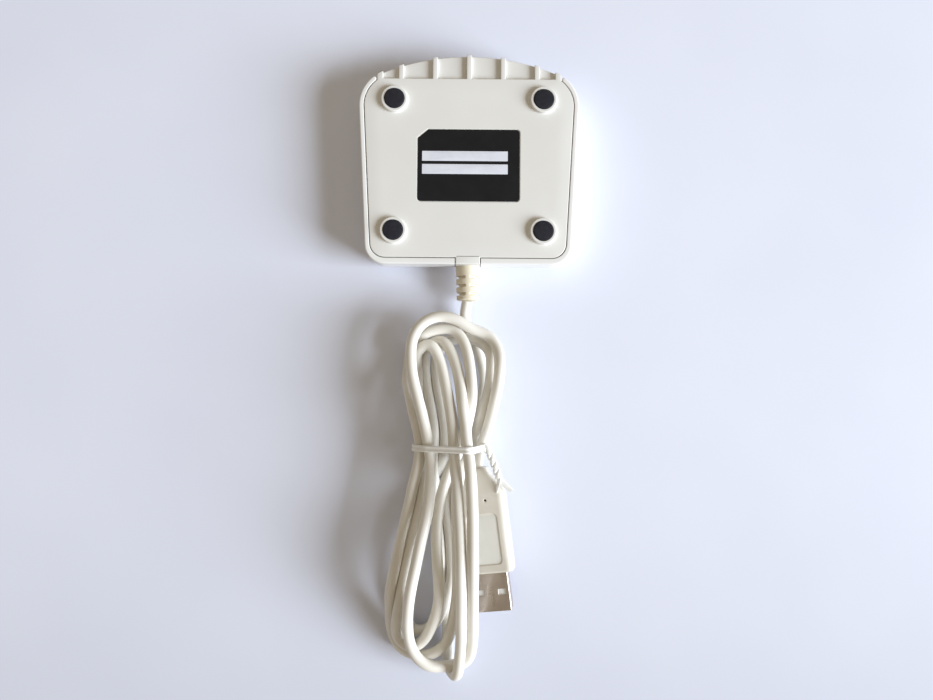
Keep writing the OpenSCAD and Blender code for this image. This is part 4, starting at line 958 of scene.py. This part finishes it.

# %% [markdown]
# ## Table and light
# The reader lies on a sheet of white card beside a window on its right: a large soft lamp there, low
# enough to throw broad shadows to the left, and a warm fill from the room. Both the card's colour and
# the light are set so that a colour renders about as it is written. A painted shade darkens the card's
# colour a little towards the plug, away from the window, for the light falling off there. The card lies
# a hair under the reader, is clear from its back, and lets through the light that has gone less than
# 0.3 mm, so that the face on the table shows from below.

# %% Table
TABLE_HALF, TABLE_Z, SEE_THROUGH = 1600, -0.04, 0.3
# Painted shade on the card: from y = -85 mm to -215 mm its colour is scaled from 1 down to 0.85.
PAINTED_SHADE_FROM_Y, PAINTED_SHADE_TO_Y, PAINTED_SHADE_DIMMEST = -85, -215, 0.85
card, tree, shader = new_material("matt white card", Roughness=0.9, Specular_IOR_Level=0.1)
vary_colour(tree, shader, speckle(tree, 60, 2), "#E3E6F4", "#E7EAF7")
tone = shader.inputs["Base Color"].links[0].from_socket
spot = node(tree, "ShaderNodeSeparateXYZ", {0: node(tree, "ShaderNodeTexCoord").outputs["Object"]})
# painted shade: the card's colour times a factor that falls towards the plug
span = {"From Min": PAINTED_SHADE_TO_Y * MM, "From Max": PAINTED_SHADE_FROM_Y * MM, "To Min": PAINTED_SHADE_DIMMEST, "To Max": 1.0}
dim = node(tree, "ShaderNodeMapRange", {"Value": spot.outputs["Y"], **span}, interpolation_type="SMOOTHSTEP")
shade = node(tree, "ShaderNodeVectorMath", {0: tone, "Scale": dim.outputs[0]}, operation="SCALE")
tree.links.new(shade.outputs[0], shader.inputs["Base Color"])
clear = node(tree, "ShaderNodeBsdfTransparent")
behind = node(tree, "ShaderNodeNewGeometry").outputs["Backfacing"]
gone = node(tree, "ShaderNodeLightPath").outputs["Ray Length"]
short = node(tree, "ShaderNodeMath", {0: gone, 1: SEE_THROUGH * MM}, operation="LESS_THAN")
open_to = node(tree, "ShaderNodeMath", {0: behind, 1: short.outputs[0]}, operation="MAXIMUM")
pick = node(tree, "ShaderNodeMixShader", {0: open_to.outputs[0], 1: shader.outputs[0], 2: clear.outputs[0]})
tree.links.new(pick.outputs[0], tree.nodes["Material Output"].inputs["Surface"])
mesh = bpy.data.meshes.new("table")
signs = ((-1, -1), (1, -1), (1, 1), (-1, 1))
corners = [(x * TABLE_HALF * MM, y * TABLE_HALF * MM, TABLE_Z * MM) for x, y in signs]
mesh.from_pydata(corners, [], [(0, 1, 2, 3)])
table = bpy.data.objects.new("table", mesh)
bpy.context.scene.collection.objects.link(table)
mesh.materials.append(card)
print("table", 2 * TABLE_HALF * MM, "m wide")


# %% Window and room light
def lamp(name, at, aim, size, power, colour):
    """A square lamp, size in metres, at a point in mm, turned to look at another point."""
    data = bpy.data.lights.new(name, "AREA")
    data.shape, data.size, data.size_y, data.energy, data.color = "RECTANGLE", size, size, power, colour
    back = np.array(at, float) - aim
    back /= np.linalg.norm(back)
    side = np.cross([0, 0, 1], back)
    side /= np.linalg.norm(side)
    place(bpy.data.objects.new(name, data), [side, np.cross(back, side), back], at)


lamp("window", (2172, -775, 1016), (0, -70, 0), 1.35, 121, (0.82, 0.90, 1.0))
world = bpy.data.worlds.new("room")
bpy.context.scene.world = world
world.use_nodes = True
world.node_tree.nodes["Background"].inputs["Color"].default_value = (1.0, 0.87, 0.68, 1)
world.node_tree.nodes["Background"].inputs["Strength"].default_value = 0.36
bpy.context.scene.view_settings.view_transform = "Standard"
